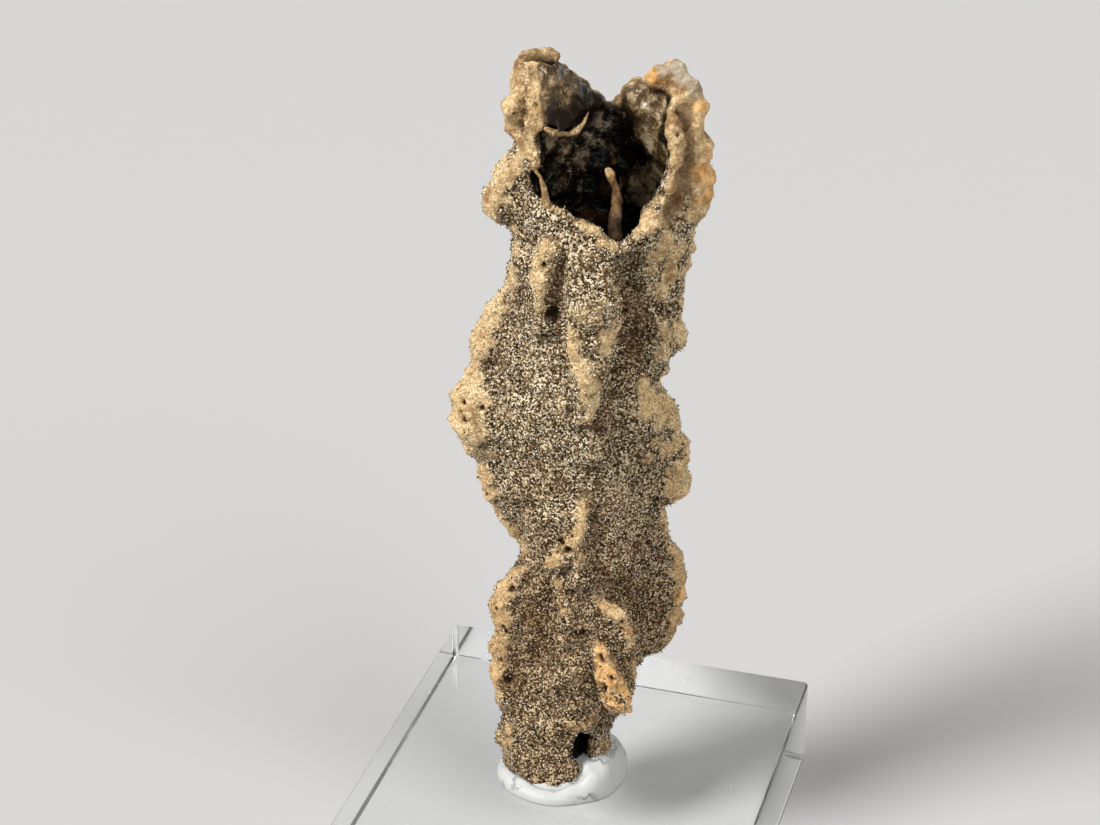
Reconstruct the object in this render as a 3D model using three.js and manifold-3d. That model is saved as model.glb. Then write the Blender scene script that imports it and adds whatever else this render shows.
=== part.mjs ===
// Fulgurite, a hollow tube of sand fused by lightning, bedded in putty on a clear acrylic block.
// Millimetres, +Z up. The origin is the centre of the block's underside.
import * as THREE from 'three';
import { mergeVertices } from 'three/addons/utils/BufferGeometryUtils.js';
import Module from 'manifold-3d';

const wasm = await Module();
wasm.setup();

// Driving dimensions
const blockSide = 40;
const blockHeight = 10;
const blockEdge = 0.3; // polished chamfer
const puttyHalf = { x: 6.7, y: 5.7 };
const puttyCentre = { x: 0.1, y: -1.1 };
const puttyHeight = 2.1;
const standAt = { x: -0.8, y: -2.3 }; // where the tube stands on the block
const turn = THREE.MathUtils.degToRad(16.9); // the open side of the tube is turned from the block's front
const wall = 1.4; // thickness of the fused wall
const bedding = 0.3; // gap between the tube and the putty around it

const footHeight = 0.8; // the lowest edge of the tube, above the block
const slit = { from: -64, to: -12, top: 7.6 }; // doorway in the wall at the foot

// The plain tube under its wings: height, centre x, centre y, half width, half depth
const tube = [
  [0, -0.9, -0.4, 4.8, 4.3],
  [5, -0.9, -0.4, 5.0, 4.5],
  [11, 0.2, -0.4, 5.8, 5.0],
  [20, 1.6, -0.2, 6.3, 5.4],
  [27, 2.2, 0.0, 6.0, 5.4],
  [35, 1.6, 0.2, 7.0, 5.8],
  [43, 0.9, 0.2, 7.2, 6.0],
  [52, 2.2, 0.1, 7.3, 6.0],
  [60, 3.2, 0.0, 7.6, 6.1],
  [69, 3.5, 0.0, 7.8, 6.2],
  [77, 3.6, 0.0, 7.9, 6.2],
];

// The broken top edge: direction in degrees (0 is the right wing, -90 the front), height
const rim = [
  [-180, 74.8], [-152, 74.6], [-133, 74.0], [-127, 63.2], [-112, 62.4], [-92, 61.4], [-76, 60.2],
  [-64, 60.0], [-54, 62.2], [-41, 63.6], [-30, 66.0], [-22, 70.0], [-6, 71.2], [6, 72.6], [20, 74.0],
  [40, 73.0], [50, 71.2], [70, 70.0], [84, 68.5], [94, 69.6], [114, 72.0], [128, 73.8], [158, 75.0],
  [180, 74.8],
];

// Wings, ridges and hollows that run up the tube. A wing stands out from the plain tube by its reach
// at each height; a negative reach is a hollow. width is the half angle over which it dies away.
const wings = [
  {
    name: 'left wing', width: 15, direction: [[0, -170], [24, -168], [30, -176], [77, -180]],
    reach: [[2, 0.3], [8, 0.9], [12, 1.7], [17, 2.2], [22, 1.4], [24.3, 0.0], [27, 0.1], [31, 2.4],
      [35, 2.8], [39.5, 4.9], [42, 4.3], [44, 2.9], [48, 3.1], [52, 1.9], [54.5, 0.3], [58, 0.4],
      [60, 1.7], [62, 3.1], [64, 2.5], [67.5, 0.0], [70, 1.6], [72.5, 0.4], [77, 0.2]],
  },
  {
    name: 'right wing', width: 15, direction: [[0, 6], [26, 6], [34, 0], [77, -4]],
    reach: [[4, 0.2], [8, 1.4], [13, 1.3], [15, 3.4], [20, 4.4], [24.5, 4.0], [27, 2.0], [29, 1.8],
      [33, 3.7], [36, 3.4], [41, 2.5], [43.8, 0.3], [45.5, 0.9], [48, 2.4], [50, 1.5], [56, 1.7],
      [58.5, 1.2], [64, 2.6], [67.5, 1.4], [71, 1.9], [74, 0.7]],
  },
  {
    name: 'front flap', width: 19, direction: [[38, -76], [46, -84], [60, -87]],
    reach: [[37.5, 0], [40, 1.2], [46, 1.4], [48, 1.9], [54, 1.6], [59, 0]],
  },
  {
    name: 'left finger', width: 9, direction: [[50, -128], [60, -132]],
    reach: [[50, 0], [52.5, 1.1], [57, 1.1], [60, 0]],
  },
  {
    name: 'hollow beside the flap', width: 20, direction: [[40, -46], [60, -44]],
    reach: [[40, 0], [45, -1.6], [53, -1.9], [58, 0]],
  },
  {
    name: 'right bulge', width: 13, direction: [[34, -26], [46, -28]],
    reach: [[35, 0], [38, 1.2], [43, 1.5], [46, 0]],
  },
  {
    name: 'front rib', width: 8, direction: [[18, -103], [30, -96]],
    reach: [[17, 0], [20, 1.0], [24, 0.8], [28, 1.4], [31, 0.4], [34, 0]],
  },
  {
    name: 'hollow left of the front rib', width: 20, direction: [[8, -135], [26, -130]],
    reach: [[7, 0], [12, -0.8], [22, -0.9], [27, 0]],
  },
  {
    name: 'lobed rib', width: 12, direction: [[10, -34], [17, -42], [24, -62]],
    reach: [[9, 0.4], [12, 1.6], [20, 2.1], [24, 0]],
  },
  {
    name: 'back wing', width: 13, direction: [[0, 104], [77, 96]],
    reach: [[5, 0], [11, 2.4], [16, 3.0], [20, 1.6], [27, 3.1], [36, 3.7], [43, 2.1], [50, 3.2],
      [57, 3.4], [62, 1.4], [66, 0]],
  },
  {
    name: 'small back wing', width: 11, direction: [[0, 52], [77, 60]],
    reach: [[9, 0], [17, 1.4], [22, 0.6], [30, 2.0], [39, 0.8], [50, 1.9], [59, 0.4], [64, 0]],
  },
  {
    name: 'left back rib', width: 11, direction: [[0, 146], [77, 140]],
    reach: [[5, 0], [13, 1.5], [23, 0.4], [33, 1.7], [45, 2.1], [56, 0.6], [63, 1.3], [70, 0]],
  },
];

// The value at t of a list of [t, value, ...] rows, easing from row to row
function along(rows, t, column = 1) {
  if (t <= rows[0][0]) return rows[0][column];
  for (let i = 1; i < rows.length; i += 1) {
    if (t <= rows[i][0]) {
      const share = THREE.MathUtils.smoothstep(t, rows[i - 1][0], rows[i][0]);
      return THREE.MathUtils.lerp(rows[i - 1][column], rows[i][column], share);
    }
  }
  return rows[rows.length - 1][column];
}

const angleBetween = (a, b) => Math.abs(((a - b + 540) % 360) - 180);

// How far the wings and hollows stand out of the plain tube, in one direction at one height
function standOut(degrees, z) {
  let sum = 0;
  for (const wing of wings) {
    const away = angleBetween(degrees, along(wing.direction, z)) / wing.width;
    sum += along(wing.reach, z) * Math.exp(-(away ** 1.6));
  }
  const lumps = Math.sin(degrees * 0.105 + z * 0.9) * Math.sin(degrees * 0.14 - z * 0.55);
  return sum + 0.22 * lumps;
}

// A point of the tube's outside or inside, in one direction at one height
function wallPoint(degrees, z, inside, gap) {
  const a = THREE.MathUtils.degToRad(degrees);
  const [cx, cy, rx, ry] = [1, 2, 3, 4].map((column) => along(tube, z, column));
  const plain = 1 / Math.hypot(Math.cos(a) / rx, Math.sin(a) / ry);
  const outer = plain + standOut(degrees, z);
  const radius = inside ? Math.min(plain, outer) - wall - gap : outer + gap;
  return new THREE.Vector3(cx + radius * Math.cos(a), cy + radius * Math.sin(a), z);
}

// A ring turned on a lathe, with its points then moved on to the wall. gap fattens the wall, and top
// cuts the tube short.
function tubeGeometry({ around, outerRows, innerRows, gap = 0, top = Infinity }) {
  const outerRadius = 2;
  const innerRadius = 1;
  const profile = [];
  for (let i = 0; i <= outerRows; i += 1) profile.push(new THREE.Vector2(outerRadius, i / outerRows));
  for (let i = innerRows; i >= 0; i -= 1) profile.push(new THREE.Vector2(innerRadius, i / innerRows));
  profile.push(profile[0].clone());
  const ring = merged(new THREE.LatheGeometry(profile, around).rotateX(Math.PI / 2));
  const points = ring.getAttribute('position');
  const at = new THREE.Vector3();
  for (let i = 0; i < points.count; i += 1) {
    at.fromBufferAttribute(points, i);
    const degrees = THREE.MathUtils.radToDeg(Math.atan2(at.y, at.x));
    const inside = Math.hypot(at.x, at.y) < (innerRadius + outerRadius) / 2;
    const inSlit = degrees > slit.from && degrees < slit.to;
    const low = (inSlit ? slit.top + gap : footHeight - gap);
    const high = Math.min(along(rim, degrees), top);
    const z = THREE.MathUtils.lerp(low, Math.max(high, low + 1), at.z);
    points.setXYZ(i, ...wallPoint(degrees, z, inside, gap));
  }
  return ring;
}

function merged(geometry) {
  geometry.deleteAttribute('normal');
  geometry.deleteAttribute('uv');
  return mergeVertices(geometry);
}

function solid(geometry) {
  const closed = merged(geometry);
  const mesh = new wasm.Mesh({
    numProp: 3,
    vertProperties: new Float32Array(closed.getAttribute('position').array),
    triVerts: new Uint32Array(closed.index.array),
  });
  return new wasm.Manifold(mesh);
}

function geometryOf(manifold) {
  const mesh = manifold.getMesh();
  const geometry = new THREE.BufferGeometry();
  geometry.setAttribute('position', new THREE.BufferAttribute(mesh.vertProperties, 3));
  geometry.setIndex(new THREE.BufferAttribute(mesh.triVerts, 1));
  geometry.computeVertexNormals();
  return geometry;
}

// From the tube's own frame, standing at its foot and facing its open side, to the block's frame
function onBlock(geometry) {
  return geometry.rotateZ(turn).translate(standAt.x, standAt.y, blockHeight);
}

// A rounded lump between two points, thickest in its middle
function lump(from, to, thick, flatness = 1) {
  const start = new THREE.Vector3(...from);
  const end = new THREE.Vector3(...to);
  const along = end.clone().sub(start);
  const geometry = new THREE.SphereGeometry(1, 12, 8);
  geometry.scale(thick, along.length() / 2, thick * flatness);
  const swing = new THREE.Quaternion().setFromUnitVectors(new THREE.Vector3(0, 1, 0), along.normalize());
  geometry.applyQuaternion(swing);
  const middle = start.add(end).multiplyScalar(0.5);
  return geometry.translate(middle.x, middle.y, middle.z);
}

function fulgurite() {
  const body = solid(tubeGeometry({ around: 60, outerRows: 42, innerRows: 18 }));
  const amberLobe = solid(lump([2.9, -5.0, 18.4], [6.9, -5.4, 10.4], 1.5, 0.9));
  const topKnob = solid(lump([-4.9, -1.6, 68.8], [-3.9, -1.2, 72.0], 1.2));
  const rightTip = solid(lump([8.2, 2.8, 70.4], [10.8, 1.2, 75.2], 1.5));
  const spike = solid(new THREE.ConeGeometry(0.75, 9, 8).rotateX(Math.PI / 2).translate(4.0, -4.3, 62.6));
  return geometryOf(body.add(amberLobe).add(topKnob).add(rightTip).add(spike));
}

function mountingPutty() {
  const profile = [[0, 0], [0.9, 0], [0.98, 0.12], [1, 0.4], [0.96, 0.75], [0.86, 0.95], [0.7, 1], [0, 0.84]];
  const dab = new THREE.LatheGeometry(profile.map(([r, z]) => new THREE.Vector2(r, z)), 40);
  dab.rotateX(Math.PI / 2).scale(puttyHalf.x, puttyHalf.y, puttyHeight);
  dab.translate(puttyCentre.x, puttyCentre.y, 0);
  const bed = tubeGeometry({ around: 60, outerRows: 3, innerRows: 3, gap: bedding, top: 6 });
  return geometryOf(solid(dab).subtract(solid(bed)));
}

function acrylicBlock() {
  const half = blockSide / 2 - blockEdge;
  const outline = new THREE.Shape([
    new THREE.Vector2(-half, -half),
    new THREE.Vector2(half, -half),
    new THREE.Vector2(half, half),
    new THREE.Vector2(-half, half),
  ]);
  const geometry = new THREE.ExtrudeGeometry(outline, {
    depth: blockHeight - 2 * blockEdge,
    bevelSize: blockEdge,
    bevelThickness: blockEdge,
    bevelSegments: 1,
  });
  return geometry.translate(0, 0, blockEdge);
}

function piece(name, geometry, material) {
  const mesh = new THREE.Mesh(geometry, new THREE.MeshStandardMaterial(material));
  mesh.name = name;
  return mesh;
}

const fusedSand = { color: 0xa48c68, roughness: 0.85, metalness: 0 };
const putty = { color: 0xdfe4e0, roughness: 0.6, metalness: 0 };
const acrylic = { color: 0xe8eef0, roughness: 0.08, metalness: 0, transparent: true, opacity: 0.35 };

const group = new THREE.Group();
group.add(piece('fulgurite', onBlock(fulgurite()), fusedSand));
group.add(piece('mounting_putty', onBlock(mountingPutty()), putty));
group.add(piece('acrylic_block', acrylicBlock(), acrylic));

export default group;
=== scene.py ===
import math
import random

import bmesh
import bpy
import numpy as np
from mathutils import Matrix, Vector, kdtree, noise


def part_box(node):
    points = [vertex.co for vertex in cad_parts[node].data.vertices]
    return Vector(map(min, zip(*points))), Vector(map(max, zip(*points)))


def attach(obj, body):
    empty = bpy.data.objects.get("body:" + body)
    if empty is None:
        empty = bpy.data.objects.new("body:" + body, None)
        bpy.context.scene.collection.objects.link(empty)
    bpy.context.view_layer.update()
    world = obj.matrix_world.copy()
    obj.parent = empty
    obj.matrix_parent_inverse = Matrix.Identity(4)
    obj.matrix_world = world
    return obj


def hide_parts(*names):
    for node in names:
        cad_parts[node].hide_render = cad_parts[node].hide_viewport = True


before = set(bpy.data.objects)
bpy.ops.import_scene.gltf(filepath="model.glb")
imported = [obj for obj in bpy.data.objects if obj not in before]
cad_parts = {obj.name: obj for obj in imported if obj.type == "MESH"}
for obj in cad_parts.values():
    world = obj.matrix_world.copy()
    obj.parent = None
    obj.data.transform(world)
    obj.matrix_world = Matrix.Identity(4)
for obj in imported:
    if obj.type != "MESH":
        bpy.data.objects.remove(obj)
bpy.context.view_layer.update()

blockLow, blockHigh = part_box("acrylic_block")

# The tube is shaped in millimetres in its own frame: its foot at the origin, its open side towards -Y.
stand = {"at": (-0.0008, -0.0023), "turn": math.radians(16.9)}
toBlock = (
    Matrix.Translation((*stand["at"], blockHigh.z))
    @ Matrix.Rotation(stand["turn"], 4, "Z")
    @ Matrix.Scale(0.001, 4)
)


def newPiece(name, bm):
    mesh = bpy.data.meshes.new(name)
    bm.to_mesh(mesh)
    bm.free()
    return placeMesh(name, mesh)


def placeMesh(name, mesh):
    piece = bpy.data.objects.new(name, mesh)
    bpy.context.scene.collection.objects.link(piece)
    return piece


def joinInto(bm, part):
    # Parts are made alone and then joined on, because operators slow down as a mesh grows
    mesh = bpy.data.meshes.new("part")
    part.to_mesh(mesh)
    part.free()
    bm.from_mesh(mesh)
    bpy.data.meshes.remove(mesh)


def addModifier(piece, kind, **settings):
    modifier = piece.modifiers.new(kind.title(), kind)
    for key, value in settings.items():
        setattr(modifier, key, value)


def applyModifiers(piece):
    evaluated = piece.evaluated_get(bpy.context.evaluated_depsgraph_get())
    finished = bpy.data.meshes.new_from_object(evaluated)
    old = piece.data
    piece.modifiers.clear()
    piece.data = finished
    bpy.data.meshes.remove(old)
    finished.name = piece.name


def remesh(piece, voxel):
    addModifier(piece, "REMESH", mode="VOXEL", voxel_size=voxel)
    applyModifiers(piece)


def readVectors(items, key):
    values = np.empty(len(items) * 3, np.float32)
    items.foreach_get(key, values)
    return values.reshape(-1, 3).astype(float)


def readPoints(mesh):
    return readVectors(mesh.vertices, "co")


def readNormals(mesh):
    return readVectors(mesh.vertex_normals, "vector")


def writePoints(mesh, points):
    mesh.vertices.foreach_set("co", points.astype(np.float32).ravel())
    mesh.update()


def spread(mesh, values, rounds):
    # The values, averaged over each point's neighbours that many times
    edges = np.empty(len(mesh.edges) * 2, np.int32)
    mesh.edges.foreach_get("vertices", edges)
    a, b = edges.reshape(-1, 2).T
    count = len(mesh.vertices)
    share = 1 / (1 + np.bincount(a, minlength=count) + np.bincount(b, minlength=count))
    for _ in range(rounds):
        sums = [v + np.bincount(a, v[b], count) + np.bincount(b, v[a], count) for v in values.T]
        values = np.stack(sums, 1) * share[:, None]
    return values


def setAttributes(mesh, values):
    # Each value is from 0 to 1: one number, or one for each point
    for name, value in values.items():
        value = np.broadcast_to(np.clip(value, 0, 1), len(mesh.vertices))
        attribute = mesh.attributes.new(name, "FLOAT", "POINT")
        attribute.data.foreach_set("value", value.astype(np.float32))


def readAttribute(mesh, name):
    values = np.empty(len(mesh.vertices), np.float32)
    mesh.attributes[name].data.foreach_get("value", values)
    return values.astype(float)


def eased(x):
    x = np.clip(x, 0, 1)
    return x * x * (3 - 2 * x)


def along(rows, t, column=1):
    # The value at t of rows of (t, value, ...), easing from row to row
    rows = np.array(rows, float)
    place = np.clip(np.searchsorted(rows[:, 0], t, side="right"), 1, len(rows) - 1)
    before, after = rows[place - 1], rows[place]
    share = eased((t - before[..., 0]) / (after[..., 0] - before[..., 0]))
    return before[..., column] + share * (after[..., column] - before[..., column])


def noiseAt(points, size, seed):
    # Smooth noise from about -1 to 1, with lumps of about that size; each seed gives another pattern
    shift = Vector((seed * 7.3, seed * 3.1, seed * 5.7))
    return np.array([noise.noise(Vector(p) / size + shift) for p in points])


def lumps(points, layers, seed, apart=1):
    # The sum of layers of noise, each a size and a height, whose seeds are that far apart
    seeds = range(seed, seed + apart * len(layers), apart)
    return sum(height * noiseAt(points, size, own) for own, (size, height) in zip(seeds, layers))


class Wire:
    # A shader socket that can be written into sums; each sum adds its Math node
    def __init__(self, tree, socket=None):
        self.tree = tree
        self.socket = socket

    def add(self, kind, settings=None, inputs=None, output=0):
        node = self.tree.nodes.new("ShaderNode" + kind)
        for key, value in (settings or {}).items():
            if key == "stops":
                while len(node.color_ramp.elements) < len(value):
                    node.color_ramp.elements.new(0.5)
                for element, (place, colour) in zip(node.color_ramp.elements, value):
                    element.position = place
                    element.color = (*colour, 1)
            else:
                setattr(node, key, value)
        for key, value in (inputs or {}).items():
            if isinstance(value, Wire):
                self.tree.links.new(value.socket, node.inputs[key])
            else:
                node.inputs[key].default_value = value
        return Wire(self.tree, node.outputs[output])

    def into(self, shader, name):
        self.tree.links.new(self.socket, shader.inputs[name])

    def maths(self, operation, *values, clamp=False):
        return self.add("Math", {"operation": operation, "use_clamp": clamp}, dict(enumerate(values)))

    def __add__(self, other):
        return self.maths("ADD", self, other)

    def __sub__(self, other):
        return self.maths("SUBTRACT", self, other)

    def __rsub__(self, other):
        return self.maths("SUBTRACT", other, self)

    def __mul__(self, other):
        return self.maths("MULTIPLY", self, other)

    __radd__ = __add__
    __rmul__ = __mul__

    def clamped(self):
        return self.maths("ADD", self, 0.0, clamp=True)

    def between(self, low, high):
        # 0 at low and 1 at high, eased
        return self.add("MapRange", {"interpolation_type": "SMOOTHSTEP"}, {0: self, 1: low, 2: high})

    def attribute(self, name):
        return self.add("Attribute", {"attribute_name": name}, output="Fac")

    def place(self):
        return self.add("TexCoord", output="Object")

    def noise(self, scale, detail=3.0, roughness=0.55):
        inputs = {"Vector": self.place(), "Scale": scale, "Detail": detail, "Roughness": roughness}
        return self.add("TexNoise", None, inputs)

    def cells(self, scale, output="Distance"):
        return self.add("TexVoronoi", None, {"Vector": self.place(), "Scale": scale}, output)

    def ramp(self, *stops):
        return self.add("ValToRGB", {"stops": stops}, {"Fac": self})

    def blend(self, a, b):
        # Colour a where this is 0 and colour b where it is 1
        settings = {"data_type": "RGBA", "clamp_factor": True}
        a, b = (c if isinstance(c, Wire) else (*c, 1) for c in (a, b))
        return self.add("Mix", settings, {0: self, 6: a, 7: b}, 2)

    def shaded(self, share, colour):
        # This colour, multiplied by the other one where share is 1
        settings = {"data_type": "RGBA", "blend_type": "MULTIPLY", "clamp_factor": True}
        return self.add("Mix", settings, {0: share, 6: self, 7: (*colour, 1)}, 2)

    def bump(self, strength, distance):
        return self.add("Bump", None, {"Height": self, "Strength": strength, "Distance": distance})


def newMaterial(name, colour, **sockets):
    # "colour" is the plain colour; other sockets are named with spaces as underscores
    material = bpy.data.materials.new(name)
    material.use_nodes = True
    material.diffuse_color = (*colour, 1)
    shader = material.node_tree.nodes["Principled BSDF"]
    shader.inputs["Base Color"].default_value = (*colour, 1)
    for key, value in sockets.items():
        shader.inputs[key.replace("_", " ")].default_value = value
    return material, Wire(material.node_tree), shader


def tonedMaterial(name, colour, tones, **sockets):
    # For joined grains, each of its own brightness between the two shares of the colour
    material, wire, shader = newMaterial(name, colour, **sockets)
    dull, bright = ([min(1, tone * part) for part in colour] for tone in tones)
    wire.attribute("tone").blend(dull, bright).into(shader, "Base Color")
    return material


# The tube: millimetres, and degrees round it, with 0 at the right wing and -90 at the front
fulguriteShape = {
    "around": 260,  # points round the tube
    "up": 230,  # points up the wall
    "wall": 1.35,
    "foot": 0.35,  # height of the lower edge
    "slit": {"low": -71, "high": -36, "top": 7.0, "raggedSides": 3, "raggedTop": 0.7},
    "chips": [(2.2, 0.5), (0.7, 0.35)],  # size and height of the chips in the broken top
    "innerChips": 0.8,  # how high they are on the inside of the wall
    "scallops": [(1.5, 0.4), (0.7, 0.28)],  # size and depth of the scallops along the wings
    "fullReach": 1.6,  # reach at which a wing has its full scallops
    # height, centre x, centre y, half width, half depth of the plain tube
    "tube": [
        (0, -1.0, -0.9, 4.2, 4.4),
        (2.5, -0.9, -0.7, 4.7, 4.5),
        (5, -0.8, -0.5, 5.0, 4.6),
        (11, 0.2, -0.4, 5.8, 5.0),
        (20, 1.6, -0.2, 6.3, 5.4),
        (27, 2.2, 0.0, 6.0, 5.4),
        (35, 1.6, 0.2, 7.0, 5.8),
        (43, 0.9, 0.2, 7.2, 6.0),
        (52, 2.2, 0.1, 7.3, 6.0),
        (60, 3.2, 0.0, 7.6, 6.1),
        (69, 3.5, 0.0, 7.8, 6.2),
        (77, 3.6, 0.0, 7.9, 6.2),
    ],
    # degrees, height of the broken top
    "rim": [
        (-180, 74.8), (-152, 74.6), (-133, 74), (-127, 63.2), (-112, 62.4), (-92, 61.4), (-76, 60.2),
        (-64, 60), (-54, 61.6), (-41, 63.4), (-30, 66), (-22, 69.6), (-6, 70.6), (6, 71.4), (20, 72),
        (34, 71.8), (46, 71.3), (62, 71.4), (70, 71), (76, 69.6), (81, 69), (87, 69.2), (96, 70.2),
        (110, 71.6), (128, 73.2), (144, 74.4), (158, 75), (180, 74.8)],
    # each stands out of the plain tube by its reach at each height; a negative reach is a hollow
    "wings": [
        {
            "name": "left wing", "width": 15, "sharp": 1.8,
            "direction": [(0, -170), (24, -168), (30, -176), (77, -180)],
            "reach": [
                (2, 0.4), (5, 0.9), (7, 0.3), (8.6, 0.8), (12, 1.8), (16, 2.2), (20, 2.7), (22.4, 2.2),
                (23.6, 1), (24.6, 0), (27, 0.6), (28.6, 0.5), (31, 2.4), (35, 2.8), (38, 4.4), (39.5, 5),
                (42, 4.5), (44, 3.5), (45.6, 2.7), (48, 3.2), (51, 2.3), (51.9, 1.5), (52.5, 0.5),
                (54.5, 0.2), (59.3, 0.3), (60.2, 2), (61.2, 2.9), (62.8, 3.2), (64.4, 2.1), (66, 1),
                (67.5, 0.2), (70, 1.6), (72.5, 0.4), (77, 0.2)],
        },
        {
            "name": "right wing", "width": 15, "sharp": 1.8,
            "direction": [(0, 6), (26, 6), (34, 0), (77, -4)],
            "reach": [
                (2, 0.4), (4, 0.3), (8, 1.4), (11.6, 1.2), (13, 1.9), (14.4, 3.2), (15.4, 4.2), (17, 4.5),
                (19.4, 4.3), (20.5, 3.9), (24.5, 3.6), (27, 1.8), (29, 1.6), (30.6, 1.3), (31.3, 2.6),
                (33, 3.6), (36, 3.1), (41, 2.3), (43.8, 0.4), (45, 1.5), (46, 1.3), (48, 2.4), (50, 1.2),
                (56, 1.5), (58.5, 1.2), (62, 2.2), (64, 2.7), (67.5, 1.4), (69, 0.9), (71, 0.7), (74, 0.3)],
        },
        {
            "name": "front flap", "width": 19, "sharp": 3.0,
            "direction": [(38, -76), (46, -84), (60, -87)],
            "reach": [(37.5, 0), (40, 1.2), (46, 1.4), (48, 1.9), (54, 1.6), (59, 0)],
        },
        {
            "name": "left finger", "width": 9, "sharp": 2.4,
            "direction": [(50, -128), (60, -132)],
            "reach": [(50, 0), (52.5, 1.1), (57, 1.1), (60, 0)],
        },
        {
            "name": "hollow beside the flap", "width": 17, "sharp": 2.6,
            "direction": [(40, -48), (60, -46)],
            "reach": [(41, 0), (46, -1.9), (50, -2.5), (55, -2.3), (59.5, 0)],
        },
        {
            "name": "right bulge", "width": 13, "sharp": 2.0,
            "direction": [(34, -26), (46, -28)],
            "reach": [(35, 0), (38, 1.2), (43, 1.5), (46, 0)],
        },
        {
            "name": "front rib", "width": 8, "sharp": 1.8,
            "direction": [(18, -103), (30, -96)],
            "reach": [(17, 0), (20, 1), (24, 0.8), (28, 1.4), (31, 0.4), (34, 0)],
        },
        {
            "name": "hollow left of the front rib", "width": 20, "sharp": 2.0,
            "direction": [(8, -135), (26, -130)],
            "reach": [(7, 0), (12, -1.2), (22, -1.4), (27, 0)],
        },
        {
            "name": "lobed rib", "width": 12, "sharp": 2.2,
            "direction": [(10, -34), (17, -42), (24, -62)],
            "reach": [(9, 0.4), (12, 1.5), (20, 1.9), (24, 0)],
        },
        {
            "name": "back wing", "width": 13, "sharp": 1.8,
            "direction": [(0, 104), (77, 96)],
            "reach": [
                (5, 0), (11, 2.4), (16, 3), (20, 1.6), (27, 3.1), (36, 3.7), (43, 2.1), (50, 3.2),
                (57, 3.4), (62, 1.4), (66, 0)],
        },
        {
            "name": "small back wing", "width": 11, "sharp": 1.8,
            "direction": [(0, 52), (77, 60)],
            "reach": [(9, 0), (17, 1.4), (22, 0.6), (30, 2), (39, 0.8), (50, 1.9), (59, 0.4), (64, 0)],
        },
        {
            "name": "left back rib", "width": 11, "sharp": 1.8,
            "direction": [(0, 146), (77, 140)],
            "reach": [(5, 0), (13, 1.5), (23, 0.4), (33, 1.7), (45, 2.1), (56, 0.6), (63, 1.3), (70, 0)],
        },
    ],
}


def turnBetween(a, b):
    return np.abs((a - b + 540) % 360 - 180)


def tubeMiddle(shape, points):
    # Each point's x and y from the middle of the tube, and its direction
    x, y, z = points.T
    x, y = x - along(shape["tube"], z, 1), y - along(shape["tube"], z, 2)
    return x, y, np.degrees(np.arctan2(y, x))


def plainRadius(shape, degrees, height):
    a = np.radians(degrees)
    halfWidth, halfDepth = along(shape["tube"], height, 3), along(shape["tube"], height, 4)
    return 1 / np.hypot(np.cos(a) / halfWidth, np.sin(a) / halfDepth)


def standOut(shape, degrees, height):
    # How far the wings stand out of the plain tube
    total = np.zeros_like(degrees)
    steps = np.arange(0, 80, 0.1)
    edge = np.stack([steps * 0, steps, steps * 0], 1)
    for number, wing in enumerate(shape["wings"]):
        away = turnBetween(degrees, along(wing["direction"], height)) / wing["width"]
        reach = along(wing["reach"], height)
        scallops = lumps(edge, shape["scallops"], 20 + number, 20)
        reach = reach + np.interp(height, steps, scallops) * np.clip(reach, 0, shape["fullReach"])
        total += reach * np.exp(-away ** wing["sharp"])
    return total


def wallRadii(shape, degrees, height):
    # The outside and the inside of the wall, as seen from the middle of the tube
    plain = plainRadius(shape, degrees, height)
    outer = plain + standOut(shape, degrees, height)
    return outer, np.minimum(plain, outer) - shape["wall"]


def crestShare(shape, points):
    # 1 along the edges of the wings
    height = points[:, 2]
    degrees = tubeMiddle(shape, points)[2]
    share = np.zeros(len(points))
    for wing in shape["wings"]:
        if wing["name"].endswith("wing"):
            away = turnBetween(degrees, along(wing["direction"], height)) / wing["width"]
            reach = along(wing["reach"], height)
            share = np.maximum(share, np.exp(-(1.9 * away) ** 2) * eased(reach / shape["fullReach"]))
    return share


def makeTube(shape):
    up, slit = shape["up"], shape["slit"]
    rows = 2 * up + 2  # up the outside, over the broken edge, down the inside and back
    bm = bmesh.new()
    bmesh.ops.create_grid(bm, x_segments=shape["around"], y_segments=rows, size=1)
    grid = np.array([v.co for v in bm.verts])
    degrees = 180 * grid[:, 0]
    row = np.rint((grid[:, 1] + 1) / 2 * rows)
    row[row == rows] = 0
    inside = row > up
    share = np.where(inside, 2 * up + 1 - row, row) / up

    a = np.radians(degrees)
    ring = np.stack([np.cos(a), np.sin(a), np.zeros_like(a)], 1)
    rimRing, footRing = ring * 9, ring * 6
    chips = lumps(rimRing, shape["chips"], 1)
    high = along(shape["rim"], degrees) + chips * np.where(inside, shape["innerChips"], 1.0)
    ragged = noiseAt(footRing, 1.4, 3)
    side = slit["raggedSides"] * ragged
    inSlit = (degrees > slit["low"] + side) & (degrees < slit["high"] + side)
    low = np.where(inSlit, slit["top"] + slit["raggedTop"] * ragged, shape["foot"])
    height = low + share * (high - low)

    outer, inner = wallRadii(shape, degrees, height)
    radius = np.where(inside, inner, outer)
    centreX, centreY = along(shape["tube"], height, 1), along(shape["tube"], height, 2)
    points = np.stack([centreX + radius * np.cos(a), centreY + radius * np.sin(a), height], 1)
    for vert, point in zip(bm.verts, points):
        vert.co = point
    bmesh.ops.remove_doubles(bm, verts=bm.verts, dist=0.0005)
    bmesh.ops.recalc_face_normals(bm, faces=bm.faces)
    print("tube", len(bm.verts), "points")
    return bm


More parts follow.
